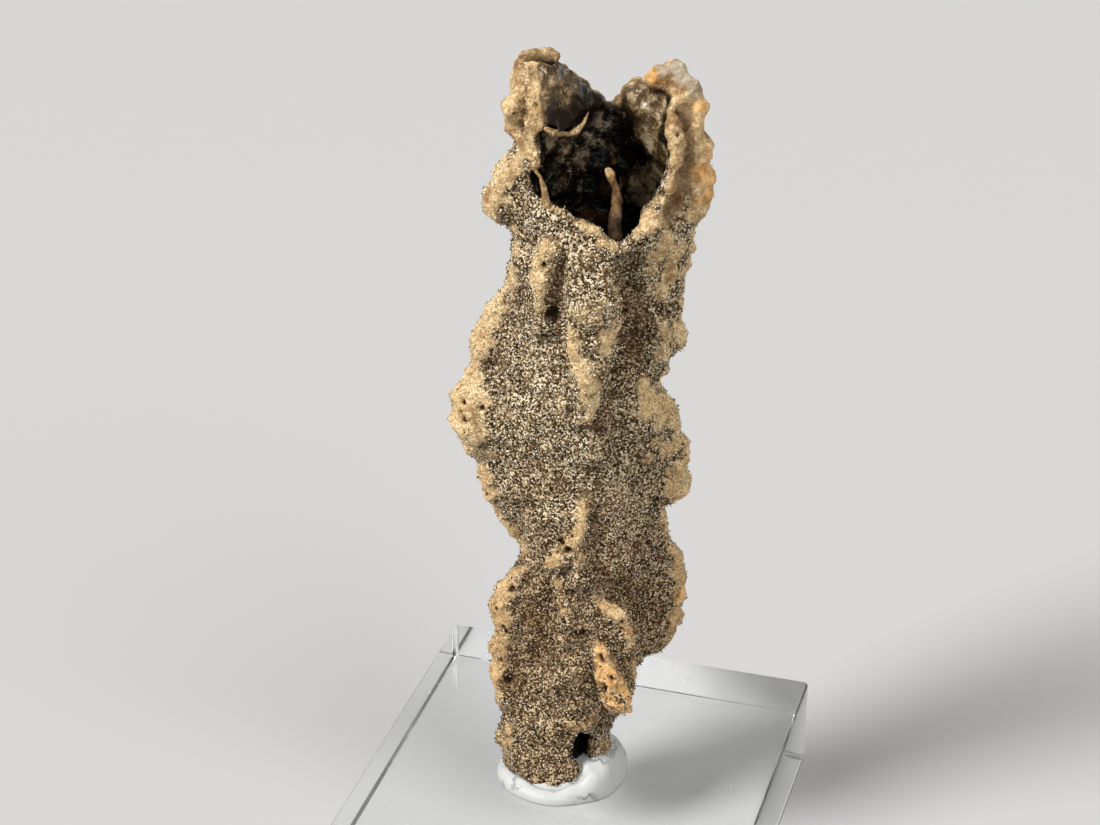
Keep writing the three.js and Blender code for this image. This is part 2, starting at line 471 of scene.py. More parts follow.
# Runs of overlapping balls fused onto the wall: each bead is x, y, z on the surface and a radius.
# "sink" is the share of the radius that a ball sits inside the surface, "thin" its width across the wall
# and "pale" how pale the sand is there (0.8 where it isn't given).
strandShape = {
    "step": 0.4,  # from ball to ball, as a share of the smallest radius
    "uneven": 0.3,
    "strands": [
        {"name": "upper left wing edge", "sink": 0.6, "beads": [
            (-4.6, -1.6, 55.4, 0.6), (-5.6, -1.2, 53.6, 0.7), (-6.9, -1, 51.9, 0.9), (-7.4, -0.9, 50.3, 1),
            (-7.9, -1.2, 48.1, 1.1), (-8.3, -1.1, 46.2, 1), (-8.5, -0.9, 44.8, 0.8)]},
        {"name": "left wing lobe", "sink": 0.65, "beads": [
            (-9.1, -1, 43.2, 1), (-9.7, -1.3, 41.5, 1.4), (-9.6, -1.5, 39.5, 1.4),
            (-8.7, -1.6, 37.6, 1.1)]},
        {"name": "left wing knobs", "sink": 0.5, "beads": [
            (-7.6, -1.5, 35.1, 0.75), (-7.1, -1.3, 33.9, 0.6), (-7, -1.1, 32, 0.8), (-6.4, -1, 30.3, 0.65),
            (-5.2, -1, 28.9, 0.6), (-4.8, -0.9, 27.6, 0.6)]},
        {"name": "lower left wing edge", "sink": 0.6, "beads": [
            (-4, -1.8, 24.3, 0.55), (-5.4, -1.9, 22.8, 0.85), (-6, -2, 20.8, 0.95), (-6.3, -2.1, 18.7, 0.9),
            (-6.3, -2.1, 16.5, 0.8), (-6.4, -2.2, 13.8, 1), (-6.6, -2.2, 11.6, 0.95), (-6.5, -2.3, 10, 0.8),
            (-6, -2.3, 8.9, 0.6)]},
        {"name": "left foot knob", "sink": 0.5, "beads": [
            (-5.2, -2.6, 6.9, 0.5), (-5.7, -2.6, 5.7, 0.8), (-5.6, -2.5, 3.8, 0.65),
            (-5.2, -2.3, 2.2, 0.5)]},
        {"name": "left finger", "sink": 0.35, "beads": [
            (-0.6, -5.4, 60.2, 0.6), (-1.5, -5.2, 59.3, 0.95), (-2.2, -5, 58, 1.2), (-2.4, -5.2, 56.6, 1.2),
            (-2.2, -5.5, 55.3, 0.9), (-1.9, -5.5, 54.3, 0.6)]},
        {"name": "flap patch", "sink": 0.55, "thin": 0.7, "beads": [
            (3.9, -6.4, 54, 0.6), (3.8, -6.5, 52.9, 0.8), (3.7, -6.7, 51.7, 0.85), (3.5, -6.7, 50.6, 0.7)]},
        {"name": "tongue", "sink": 0.25, "thin": 0.9, "beads": [
            (0.8, -6.6, 52.2, 0.55), (0.8, -6.7, 51.2, 0.8), (1, -6.9, 50, 0.95), (1.6, -7.1, 48.5, 1.15),
            (2, -7.1, 47, 1.35), (2.3, -6.9, 45.7, 1.2), (2.5, -6.7, 44.5, 0.8), (2.6, -6.6, 43.8, 0.5)]},
        {"name": "upper right wing edge", "sink": 0.55, "pale": 0.5, "beads": [
            (10.9, -0.6, 59.6, 0.6), (11.2, -0.7, 57.6, 0.95), (10.8, -0.5, 55.4, 0.7),
            (10.7, -0.3, 54, 0.8), (10.8, -0.3, 52.2, 0.75), (10.3, -0.4, 50.6, 0.6),
            (10.8, -0.6, 49, 0.85), (10.3, -0.7, 47.4, 0.7), (9.3, -0.7, 45.7, 0.65),
            (9, -0.7, 44.8, 0.6)]},
        {"name": "pale shoulder", "sink": 0.6, "pale": 0.6, "beads": [
            (8.9, -2.9, 51.2, 0.9), (9.3, -2.8, 49.6, 1.2), (9.2, -2.8, 48, 0.9)]},
        {"name": "right bulge", "sink": 0.65, "beads": [
            (7.5, -3.4, 44.9, 0.8), (8.5, -3.1, 43, 1.2), (8.9, -2.8, 41, 1.3)]},
        {"name": "right bulge's edge", "sink": 0.6, "pale": 0.55, "beads": [
            (8.9, -1.4, 43.9, 0.6), (10, -1.2, 41.8, 0.9), (10.5, -1, 39.9, 0.85),
            (10.6, -0.9, 37.8, 0.8)]},
        {"name": "right lobes", "sink": 0.55, "pale": 0.55, "beads": [
            (10.7, -0.7, 36.4, 0.7), (11.4, -0.7, 34.9, 1), (11.2, -0.5, 33.6, 0.85),
            (11.5, -0.2, 32.4, 0.95), (10.7, -0.7, 31.9, 0.7)]},
        {"name": "lower right wing edge", "sink": 0.55, "pale": 0.55, "beads": [
            (9.6, -0.2, 30.2, 0.55), (9.7, -0.2, 28.9, 0.6), (9.9, -0.1, 27.2, 0.65),
            (10.5, -0.1, 25.8, 0.75), (11.2, -0.1, 24.3, 0.85), (11.1, 0, 22.8, 0.65),
            (11.6, 0.1, 20.9, 0.75), (11.6, 0.2, 19.6, 0.8), (11, 0.2, 18.2, 0.65), (10.8, 0.2, 16.6, 0.75),
            (10.6, 0.2, 15.2, 0.7), (9, 0.2, 14.2, 0.55)]},
        {"name": "slanting ridge", "sink": 0.45, "beads": [
            (1.8, -5.5, 34.8, 0.2), (1.9, -5.6, 33, 0.3), (1.8, -5.8, 31.6, 0.45), (1.3, -5.9, 30.5, 0.9),
            (0.5, -5.6, 29.5, 1.3), (-0.4, -5.2, 28.5, 1.5), (-1.1, -4.8, 27.3, 1.2),
            (-1.5, -4.5, 26.4, 0.6)]},
        {"name": "thin front rib", "sink": 0.0, "thin": 0.6, "beads": [
            (-0.9, -4.4, 26, 0.45), (-0.6, -4.7, 24.8, 0.65), (-0.4, -5, 23.1, 0.65), (0, -5.5, 21.4, 0.6),
            (0.5, -5.7, 20.2, 0.55), (1.3, -5.7, 19.2, 0.45)]},
        {"name": "rib cheek", "sink": 0.65, "pale": 0.45, "beads": [
            (0.6, -5.4, 25, 0.6), (0.9, -5.6, 23.2, 0.8), (1.5, -5.7, 21.4, 0.9), (2.6, -5.7, 20, 0.8)]},
        {"name": "lobed rib", "sink": 0.5, "pale": 1.0, "beads": [
            (3.2, -5.4, 23.2, 0.5), (3.9, -5.5, 22.7, 0.65), (4.8, -5.6, 22, 0.7), (5.7, -5.6, 21, 0.75),
            (6.3, -5.6, 19.6, 0.75), (6.6, -5.5, 18, 0.65), (6.7, -5.2, 16.1, 0.55), (7, -4.6, 13.6, 0.5)]},
        {"name": "amber lobe", "sink": 0.35, "thin": 0.75, "beads": [
            (3, -5.7, 18.6, 0.5), (3.6, -6.1, 17.4, 0.85), (4.2, -6.4, 16, 1.2), (4.7, -6.5, 14.6, 1.4),
            (5.2, -6.4, 13.2, 1.55), (5.7, -6.3, 12.3, 1.45)]},
        {"name": "amber lobe's foot", "sink": 0.3, "thin": 0.8, "beads": [
            (5, -6.1, 12, 0.8), (5.9, -6.2, 11.4, 0.9), (6.6, -6.1, 11, 0.6)]},
        {"name": "slit lip", "sink": 0.45, "beads": [
            (0.5, -5.2, 8.6, 0.5), (1.1, -5.1, 8, 0.7), (1.9, -4.8, 8.2, 0.6), (2.9, -4.5, 8.9, 0.8),
            (3.9, -3.9, 9.4, 0.8)]},
        {"name": "sill of the slit", "sink": 0.2, "pale": 0.3, "beads": [
            (0.5, -4.9, 3.4, 0.45), (0.9, -4.7, 2.8, 0.75), (1.2, -4.5, 1.8, 0.9), (1.3, -4.3, 0.6, 0.9)]},
        {"name": "sand inside the foot", "sink": 0, "beads": [(0, -0.2, 2, 2.3), (0.1, -0.1, 3.8, 2.2)]},
        {"name": "right foot", "sink": 0.5, "pale": 0.7, "beads": [
            (3.6, -2.4, 7, 0.8), (3.9, -2.5, 5.6, 1.2), (4.1, -2.5, 4.4, 1.25), (4.1, -2.4, 3.6, 1.1)]},
        {"name": "horn's left knob", "sink": 0.1, "beads": [
            (-4.3, -1.9, 72, 0.9), (-4.7, -2, 71.3, 1.1), (-4.5, -2, 70.5, 0.9)]},
        {"name": "horn's top", "sink": 0.4, "beads": [
            (-4, -1.9, 75.2, 0.6), (-3.5, -0.4, 75.5, 0.7), (-2.2, 1, 75.2, 0.7), (-1, 1.6, 74.9, 0.6)]},
        {"name": "right horn", "sink": 0.2, "beads": [
            (7.8, 2.2, 72.4, 0.75), (8.6, 2, 73.4, 0.85), (9.5, 1.6, 74.1, 0.75), (10.2, 1.3, 73.7, 0.8),
            (10.9, 0.9, 72.9, 0.75), (11.7, 0.3, 72.3, 0.75)]},
        {"name": "right horn's body", "sink": 0, "beads": [
            (8.3, 2.6, 71.7, 0.9), (9.2, 2.1, 72.3, 1.1), (10, 1.3, 71.9, 1.2), (10.9, 0.6, 71.4, 0.9)]},
        {"name": "right horn's underside", "sink": 0, "beads": [
            (9, 1.9, 70.3, 0.8), (9.7, 0.6, 70.4, 1), (10.6, 0, 70.6, 1), (10.9, -0.6, 69.9, 0.7)]},
        {"name": "side lobe", "sink": 0.2, "beads": [
            (12, 0.2, 71.6, 0.5), (12.4, 0.1, 70.8, 0.7), (12.3, 0, 70, 0.6), (11.9, 0, 69.4, 0.5)]},
        {"name": "right rim", "sink": 0.35, "beads": [
            (9.7, -0.6, 71.4, 0.45), (9.8, -1.7, 70.3, 0.8), (9.9, -2.4, 68.9, 0.7),
            (9.9, -2.8, 67.4, 0.45), (9.9, -3, 66, 0.45), (9.5, -3.2, 64.7, 0.6), (8.9, -3.5, 63.4, 0.75),
            (8, -4, 62.4, 0.8), (7.2, -4.6, 61.5, 0.5), (6.5, -5.1, 60.8, 0.4)]},
        {"name": "rim's lip", "sink": 0.3, "pale": 0.6, "beads": [
            (1.2, -5.6, 62, 0.35), (2.6, -5.7, 61.4, 0.5), (3.4, -5.8, 60.6, 0.55), (4.2, -5.9, 60, 0.7),
            (5.1, -5.8, 59.7, 0.75), (5.9, -5.5, 60, 0.6), (6.5, -5.1, 60.7, 0.5)]},
        {"name": "right flange", "sink": 0.55, "beads": [
            (11.6, -0.8, 68.4, 0.6), (12.3, -0.6, 66.6, 0.9), (12.8, -0.4, 64.8, 1), (12.8, -0.4, 63, 0.95),
            (12.3, -0.5, 61.2, 0.7)]},
        {"name": "upper left lobe", "sink": 0.6, "beads": [
            (-3.9, -2.2, 67, 0.7), (-5.2, -1.9, 65.4, 0.9), (-6.4, -1.7, 63.8, 1.15),
            (-6.9, -1.6, 62.5, 1.2), (-6.4, -1.8, 61.6, 0.9)]},
    ],
    "sheetCells": 24,
    # walls of glass: rows of places on the front face, and thickness
    "sheets": [
        {"name": "inner side of the horn", "thick": 0.9, "rows": [
            [(-1.6, -2.2, 75.4), (-0.7, -0.6, 75.2), (0.1, 0.8, 74.5), (0.7, 1.8, 73.8)],
            [(-1.5, -3.2, 74.4), (-0.3, -1.4, 74.2), (0.7, 0.8, 73.4), (1.5, 2.6, 72.4)],
            [(-1.3, -3.7, 72.8), (-0.3, -2.2, 72.9), (0.9, 0.4, 72.4), (2.4, 3.4, 71.2)],
            [(-1, -3.7, 71.2), (0, -2.7, 71.1), (1.2, 0.2, 71.4), (3.3, 4.4, 69.9)],
            [(-0.8, -3.5, 69.7), (0.5, -2.8, 69.5), (1.6, -0.2, 70.3), (3.7, 4.9, 69.2)]]},
        {"name": "fold in the right corner", "thick": 1.1, "rows": [
            [(5.2, 4.4, 71), (6.3, 3.9, 71.2), (7.3, 3, 71.4), (8.2, 2.2, 71.4), (9, 0.8, 71.3)],
            [(5.1, 4.4, 69.2), (6.1, 3.2, 69.7), (7.2, 2.2, 70), (8.3, 1, 70.3), (9.2, -0.6, 70.5)],
            [(5.3, 4.4, 67.1), (6.3, 2.8, 67.5), (7.3, 1.8, 67.9), (8.4, 0.6, 68.4), (9.2, -1, 68.6)],
            [(6.2, 3.9, 65.2), (7, 2.7, 65.5), (7.7, 1.7, 65.9), (8.6, 0.4, 66.4), (9.3, -1.2, 67)],
            [(6.9, 4, 62.6), (7.8, 2.9, 62.8), (8.5, 1.6, 63), (8.9, 0.2, 63.6), (9.3, -1.6, 64.4)]]},
    ],
    # centre, radii of what is cut away
    "cuts": [
        {"name": "gap under the horn", "at": (-0.9, -4.7, 66.6), "radii": (1.7, 2.0, 3.1)},
        {"name": "low corner of the window", "at": (-1.8, -4.1, 65.1), "radii": (1.75, 2.8, 1.6)},
        {"name": "low edge of the window", "at": (-0.5, -4.7, 64.6), "radii": (1.7, 2.2, 1.4)},
        {"name": "top corner of the window", "at": (-1.85, -4.1, 69.2), "radii": (0.65, 1.6, 1.3)},
        {"name": "pocket in the horn", "at": (-2.6, -1.7, 74.8), "radii": (1.0, 1.25, 0.65)},
        {"name": "front of the hood", "at": (0.0, -4.9, 71.6), "radii": (1.2, 1.5, 2.6)},
    ],
}


def addBall(bm, at, radius, outward, thin):
    # A ball, narrow in its outward direction where thin is under 1
    turn = Matrix.Rotation(math.atan2(outward[1], outward[0]), 4, "Z")
    place = Matrix.Translation(at) @ turn @ Matrix.Diagonal((radius, radius * thin, radius, 1))
    bmesh.ops.create_icosphere(bm, subdivisions=2, radius=1, matrix=place)


def addStrands(bm, shape, tube):
    for strand in shape["strands"]:
        alone = bmesh.new()
        beads = np.array(strand["beads"])
        gaps = np.linalg.norm(np.diff(beads[:, :3], axis=0), axis=1)
        places = np.concatenate([[0], np.cumsum(gaps)])
        steps = np.arange(0, places[-1] + 0.01, shape["step"] * beads[:, 3].min())
        rows = np.stack([np.interp(steps, places, column) for column in beads.T], 1)
        rows[:, 3] *= 1 + shape["uneven"] * noiseAt(rows[:, :3], 1.1, 51)
        for x, y, z, radius in rows:
            outward = np.array([x - along(tube, z, 1), y - along(tube, z, 2)])
            outward /= np.linalg.norm(outward)
            sunk = radius * strand["sink"]
            at = (x - outward[0] * sunk, y - outward[1] * sunk, z)
            addBall(alone, at, radius, outward, strand.get("thin", 1))
        joinInto(bm, alone)
    print("strands", len(shape["strands"]))


def sheetPlaces(rows, across, down):
    # Places on a sheet, from shares of the way across it and down it
    rows = np.array(rows)
    down, across = down * (rows.shape[0] - 1), across * (rows.shape[1] - 1)
    row = np.minimum(down.astype(int), rows.shape[0] - 2)
    column = np.minimum(across.astype(int), rows.shape[1] - 2)
    down, across = (down - row)[:, None], (across - column)[:, None]
    upper = rows[row, column] * (1 - across) + rows[row, column + 1] * across
    lower = rows[row + 1, column] * (1 - across) + rows[row + 1, column + 1] * across
    return upper * (1 - down) + lower * down


def pulled(points, pulls):
    for pull in pulls:
        share = eased(1.2 - np.linalg.norm(points - pull["at"], axis=1) / pull["radius"])
        points = points + share[:, None] * pull["move"]
    return points


def addSheets(bm, shape, pulls):
    cells = shape["sheetCells"]
    for sheet in shape["sheets"]:
        alone = bmesh.new()
        bmesh.ops.create_grid(alone, x_segments=cells, y_segments=cells, size=1)
        grid = (np.array([vert.co for vert in alone.verts]) + 1) / 2
        goal = sheetPlaces(sheet["rows"], grid[:, 0], grid[:, 1])
        places = goal
        for _ in range(6):  # so that the pulls take the sheet to its rows
            places = places + goal - pulled(places, pulls)
        for vert, place in zip(alone.verts, places):
            vert.co = place
        bmesh.ops.recalc_face_normals(alone, faces=alone.faces)
        if sum(face.normal.y for face in alone.faces) > 0:  # the front face looks towards -Y
            bmesh.ops.reverse_faces(alone, faces=alone.faces)
        bmesh.ops.solidify(alone, geom=alone.faces, thickness=sheet["thick"])
        joinInto(bm, alone)
    print("sheets", len(shape["sheets"]))


def cutAway(piece, shape):
    # One at a time, because balls that overlap in one cutter leave a piece standing between them
    for cut in shape["cuts"]:
        bm = bmesh.new()
        place = Matrix.Translation(cut["at"]) @ Matrix.Diagonal((*cut["radii"], 1))
        bmesh.ops.create_icosphere(bm, subdivisions=4, radius=1, matrix=place)
        cutter = newPiece("cutter", bm)
        addModifier(piece, "BOOLEAN", object=cutter, operation="DIFFERENCE", solver="MANIFOLD")
        applyModifiers(piece)
        bpy.data.objects.remove(cutter)
    print("cuts", len(shape["cuts"]))


# The surface of the fused sand
sandShape = {
    "voxel": 0.29,
    "join": 2,  # rounds of smoothing where strands meet the wall
    "crestRounds": 14,  # rounds of smoothing that tell crests from hollows
    # size and height of the lumps outside, and of the flow of the glass inside
    "outside": [(3.4, 0.38), (1.5, 0.32), (0.75, 0.22)],
    "inside": [(3, 0.45), (1.4, 0.3), (0.7, 0.16)],
    "smoothLumps": [(1.3, 0.14), (0.7, 0.2)],  # more of them where the crust is fused smooth
    "ragged": [(1.2, 0.3), (0.5, 0.25)],  # size and share of what makes the edges of the patches uneven
    "blotches": [(2.4, 0.14), (0.9, 0.1)],  # size and share of the paler and browner blotches
    "back": [(4.5, 1.8), (1.5, 0.6)],  # size and share of the cream patches at the back
    "smoothAbove": 67,  # the crust is all fused smooth above this height
    "pits": {"count": 90, "radius": (0.12, 0.24), "depth": 0.35},
    # deeper holes: x, y, z, radius
    "holes": {"depth": 0.9, "at": [
        (3.5, -6.7, 17.3, 0.45), (3.8, -6.5, 13.6, 0.3), (3.8, -6.6, 14.3, 0.3), (0.5, -5.8, 24, 0.4),
        (-1, -5.2, 53.2, 0.4), (1.7, -5.9, 19.5, 0.4), (-0.1, -5.3, 29.7, 0.3), (0.4, -6.1, 28.9, 0.3),
        (-9.5, -2.3, 40.7, 0.24), (-9.4, -1.9, 42.6, 0.26), (-4, -2.6, 71, 0.16), (-2.7, -2.8, 72.3, 0.18),
        (-5, -2.6, 22.6, 0.36), (-5.6, -2.8, 17.7, 0.26), (-6.6, -2.5, 17.2, 0.22), (-6.3, -3, 14.5, 0.22),
        (-5.4, -3, 12.2, 0.35), (5.7, -5.9, 15.7, 0.26), (4.6, -7, 15.5, 0.22), (-7.7, -2.4, 41.8, 0.22),
        (-1.8, -5.8, 58, 0.22), (2.7, -7.7, 46, 0.22), (-2.6, -4.6, 6.1, 0.28), (-1.1, -4.8, 28, 0.3),
        (-1.9, -4.4, 27.2, 0.3), (11.2, -0.6, 20.5, 0.26), (8.7, -2.2, 32.1, 0.4)]},
    # pulls on everything near a place: centre, radius, move
    "pulls": [
        {"name": "horn leans back", "at": (-2.6, -4.2, 74.6), "radius": 3.8, "move": (0.2, 1.9, 1.0)},
        {"name": "hood curls in", "at": (-0.6, -4.6, 71.0), "radius": 2.6, "move": (0.7, 0.9, 0.0)},
    ],
    # swells and grooves: radius, height (a groove has less than 0), how steep the sides are
    # (1 where it isn't given), how brown it is (brown sand, and painted shade in the grooves), and points
    # along the middle
    "swells": [
        {"name": "flap", "radius": 2.5, "rise": 0.85, "steep": 2.6, "brown": 0, "line": [
            (2.2, -5.8, 58.2), (2.3, -6, 57), (2.4, -6.4, 54), (2.5, -6.6, 52.6)]},
        {"name": "under the tongue", "radius": 1.1, "rise": -0.5, "steep": 1.3, "brown": 0.35, "line": [
            (0.6, -6.4, 43.6), (1.8, -6.4, 42.3), (3.2, -6.2, 42.4)]},
        {"name": "left of the tongue", "radius": 0.9, "rise": -0.4, "steep": 1.3, "brown": 0.3, "line": [
            (-0.6, -6.2, 50.4), (0, -6.3, 48.2), (0.4, -6.4, 46), (0.8, -6.4, 44.2)]},
        {"name": "valley under the flap", "radius": 0.9, "rise": -0.5, "brown": 0.4, "line": [
            (2.3, -6.8, 53.4), (2.4, -6.9, 51.2), (2.9, -6.8, 49.5)]},
        {"name": "between rim and flange", "radius": 1.7, "rise": -1.0, "brown": 1.0, "line": [
            (10.9, -1.6, 71), (10.8, -2.1, 69.4), (10.8, -2.3, 66.2), (10.5, -2.7, 64), (9.5, -3.4, 61.9)]},
        {"name": "beside the flap", "radius": 1.9, "rise": -0.75, "steep": 1.5, "brown": 0.45, "line": [
            (5.7, -5.3, 57.6), (5.8, -5, 55), (5.7, -4.9, 52), (5.3, -5.1, 49.6)]},
        {"name": "right of the tongue", "radius": 1.4, "rise": -0.75, "steep": 1.4, "brown": 0.5, "line": [
            (4.5, -6.2, 48.4), (4.5, -6, 46.2), (4.1, -5.9, 44.2), (3, -6, 42.6)]},
        {"name": "between the finger and the flap", "radius": 1.2, "rise": -0.6, "brown": 0.6, "line": [
            (0.2, -5.6, 58.6), (-0.6, -5.6, 57), (-0.9, -5.6, 55), (-0.8, -5.8, 53.2)]},
        {"name": "inside the upper left wing", "radius": 1.4, "rise": -0.5, "brown": 0.4, "line": [
            (-4.2, -2.8, 55), (-5.2, -2.8, 51.5), (-6, -2.9, 48.4), (-6.4, -2.9, 46.2)]},
        {"name": "inside the lower left wing", "radius": 1.4, "rise": -0.5, "brown": 0.5, "line": [
            (-3.4, -3.2, 23.6), (-4, -3.4, 20.4), (-4.4, -3.5, 16.6), (-4.6, -3.5, 12.4)]},
        {"name": "under the lobed rib", "radius": 1.6, "rise": -0.6, "brown": 0.15, "line": [
            (4.4, -4.7, 24.6), (6.8, -4.2, 22.2), (8, -3.9, 19.6), (8.2, -3.4, 16.6)]},
        {"name": "right of the slanting ridge", "radius": 1.5, "rise": -0.5, "brown": 0.3, "line": [
            (3.1, -5.2, 33), (2.8, -5.2, 30.2), (2, -5, 27.6)]},
        {"name": "round the horn's knob", "radius": 0.7, "rise": -0.65, "steep": 1.2, "brown": 0.5, "line": [
            (-3.6, -2.4, 72.6), (-3.6, -2.6, 71.2), (-3.7, -2.4, 69.8)]},
        {"name": "left of the thin rib", "radius": 1.0, "rise": -0.5, "brown": 0.3, "line": [
            (-1.4, -4.9, 23.6), (-1, -5.2, 21), (-0.2, -5.4, 19.2)]},
    ],
    "sheetBall": 0.85,  # how far round the sheets everything is glass
    "plug": [(0.4, -0.8, 2.5, 2.2), (0.4, -0.8, 5.5, 2.2)],  # what fills the foot looks like the inside
    # broken edges of the glass, which are pale
    "edgeWidth": 0.45,
    "edges": [
        [(0.2, 1.2, 74.9), (0.9, 2.2, 73.8), (2, 4, 71.7), (3, 4.8, 70.5), (4, 5, 69.6)],
        [(4.9, 4.8, 69.6), (5.3, 4.6, 71.2), (6.4, 4.2, 71.6), (7.4, 3.2, 71.7)]],
    # heights, and how much darker and browner the sand is made there: darker towards the bottom
    "shade": [(0, 8, 13, 24, 30, 40, 76), (0.8, 0.7, 0.8, 0.75, 0.5, 0.2, 0.25)],
    # what makes the sand paler, from "plain" up, or less pale
    "plain": 0.38,
    "paler": {"crest": 0.8, "strand": 0.28, "blotch": 1, "cream": 0.35, "smooth": 0.4, "dark": -0.15,
              "wing": 0.35, "speckled": -0.4, "foot": -0.12},
    # x, y, z and radius of the balls that mark each stain or patch
    "amber": [
        (4.5, -6.9, 15.4, 1.7), (5.4, -6.9, 13, 1.8), (6.2, -6.6, 11.4, 1.4), (3.4, -6.4, 17.6, 1),
        (8.2, 1.6, 73, 1.1), (12.6, 0, 70.9, 1.1), (12.3, 0, 69.8, 0.8), (11.9, 0.1, 20.2, 1),
        (12.9, -0.9, 65.4, 1.6), (12.6, -1.1, 62.8, 1.2)],
    "white": [(9.4, 1.6, 74.3, 1.5), (10.5, 1, 73.6, 1.2), (11.6, 0.2, 72.5, 1), (-0.7, -3.4, 74.8, 0.7)],
    "speckled": [
        (1.4, -6.9, 54.2, 1.2), (2.6, -6.8, 55.6, 1.2), (2.3, -6.6, 57.4, 1.2), (2.4, -7, 50.6, 0.7)],
    # where the glass is milky brown and where it is frosted, both also painted light on inner walls that lie
    # in shade, and where it is painted almost black as deep shadow
    "milky": [
        (7.2, 3.6, 62.4, 1.5), (7.4, 3.4, 60.7, 1.3), (8.3, 2.3, 63.4, 1), (-1.2, 3.2, 66.2, 0.6),
        (0.2, 4, 65, 0.5), (-0.8, -2.4, 73.8, 2.2), (0, -1.2, 72.9, 1.8), (0.6, 0.8, 73, 1.5),
        (6.6, 3.4, 70.4, 1.7), (8, 1.8, 70, 1.9), (7.6, 1.8, 67.8, 1.9), (8.6, 0.6, 66.6, 1.4),
        (8.2, 1.5, 63.5, 1.5), (2.4, 4.6, 68.2, 0.9)],
    "frost": [
        (-1.5, 3.2, 66.6, 1.3), (0.1, 4, 65.6, 1.8), (1.4, 4.6, 64.2, 1.6), (3, 4.9, 66.6, 1.6),
        (7.4, 3.4, 62.6, 1.7), (7, 3.8, 60.8, 1.8), (5.2, 4.7, 61.6, 1), (0.6, 4.3, 67.6, 1.2)],
    "soot": [
        (0, 0, 4, 3.6), (-0.9, -3.4, 70.9, 0.9), (0.2, -2.7, 70.8, 1), (1.1, -0.7, 70.7, 1),
        (2.6, 3.6, 69.6, 1.5), (1.2, 0.8, 69.6, 1.3), (1.8, 4.2, 68.4, 1.5), (3.4, -1, 60, 2)],
    # where the crust is fused smooth, cream all over, dark and brown (brown sand with painted shade in
    # hollows, under ridges and under the horn), or pale grey
    "smooth": [
        (-3.4, -0.8, 75.4, 1), (-3.9, -1.4, 74.3, 1), (-2.9, -1.8, 74.5, 1), (-2, -2, 74.9, 0.7),
        (-4, -1.8, 73, 1), (-2.9, -2.6, 73.1, 1.2), (-4.3, -2.4, 71.6, 1.1), (-5.1, -2, 71, 0.8),
        (-3, -3, 71.8, 1.2), (-2, -3.1, 72.6, 0.9), (-3.4, -2.8, 70.4, 1), (-2.1, -3.3, 71, 0.9),
        (-3.4, -2.7, 68.7, 0.8), (-3, -3.4, 68.1, 0.8), (-2.7, -3.8, 66.7, 0.5), (-3.9, -2.3, 67.2, 0.8),
        (-4.4, -2.6, 65.9, 0.7), (8, 1.6, 72.9, 1), (9.1, 1.4, 73.9, 1), (10.2, 1, 74, 0.9),
        (11.2, 0.2, 72.7, 1), (9.3, 0.6, 71.9, 1.2), (10.6, 0, 71.1, 1.1), (12.2, 0.2, 70.8, 0.9),
        (11.8, 0, 69.7, 0.9), (8.1, 1.6, 70.8, 0.9), (9.6, -1.9, 70.5, 1), (9.8, -2.2, 69.5, 1),
        (9.8, -2.7, 68.3, 1), (9.8, -2.9, 66.9, 1), (9.8, -3, 65.6, 1), (9.4, -3.3, 64.4, 1),
        (8.7, -3.7, 63.2, 1), (7.9, -4.2, 62.2, 0.9), (7, -4.7, 61.3, 0.8), (10.9, -2.1, 68.5, 1.1),
        (10.9, -2.2, 66.7, 1.2), (10.7, -2.4, 64.8, 1.2), (9.9, -3.1, 62.6, 0.9), (12, -1.3, 68.6, 1.1),
        (12.3, -1.6, 66.8, 1.2), (12.3, -1.8, 64.8, 1.3), (12, -1.9, 63, 1.2), (11.5, -2.1, 61.6, 0.9),
        (12.6, -0.8, 64, 1.2), (9.2, -2.6, 62.5, 0.9), (9.8, -2.3, 63.4, 0.9), (8.7, -3.4, 61.9, 0.9),
        (12.2, -1.8, 61.2, 0.9), (9, -4, 59.3, 0.9), (9.8, -2.6, 57, 0.9), (9.6, -2.3, 55.6, 0.7),
        (9.2, -3, 50.4, 0.7), (10.6, -1.5, 35.1, 0.7), (-9.1, -2.2, 41.8, 1), (-6.6, -2.4, 63.2, 1)],
    "cream": [
        (-5.6, -2.6, 21.4, 0.6), (-5.5, -2.9, 19.3, 0.8), (-5.4, -3, 16.8, 0.7), (-5.4, -3, 14.2, 0.7),
        (-5.5, -3, 11.9, 0.6), (11.2, -0.6, 23.4, 0.9), (11.2, -0.6, 21.2, 0.9), (11, -0.3, 18.6, 0.9),
        (-6.4, -2.3, 63.8, 1.2), (-6.6, -2.6, 62.5, 0.8), (-5.2, -2.5, 65.1, 0.9), (-5.1, -2.3, 62.9, 0.7),
        (-4.5, -2.1, 58.2, 0.9), (-4.5, -2.1, 60, 0.8), (-4.6, -2, 56.2, 0.8), (-5, -1.8, 54.4, 0.8),
        (-1.6, -5.2, 59.8, 0.4), (-2.4, -5.5, 58.5, 0.6), (-2.5, -5.7, 57, 0.5), (-2.1, -5.8, 55.6, 0.4),
        (-5.8, -1.9, 52.3, 1), (-6.8, -1.7, 50.8, 1.2), (-7.3, -1.8, 49, 1.1), (-7.6, -2.1, 47.7, 0.8),
        (-8.2, -1.2, 44.8, 0.9), (-9.4, -1.5, 43, 1.2), (-9.1, -2.4, 41.5, 1.7), (-8.3, -2.8, 39.8, 1.4),
        (-7.5, -2.1, 43, 0.9), (-6.8, -2.1, 37.3, 0.7), (-7.1, -2, 34.7, 0.6), (-6.7, -1.9, 32.9, 0.6),
        (-4.7, -1.4, 28.4, 0.5), (-3.4, -1.4, 26.8, 0.6), (-5, -0.8, 23.2, 0.8), (-5.5, -2.2, 22.2, 1),
        (-6, -2.4, 20.1, 1), (-6.2, -2.4, 17.8, 0.9), (-6.3, -2.8, 15.7, 0.9), (-6.6, -2.8, 13.4, 0.7),
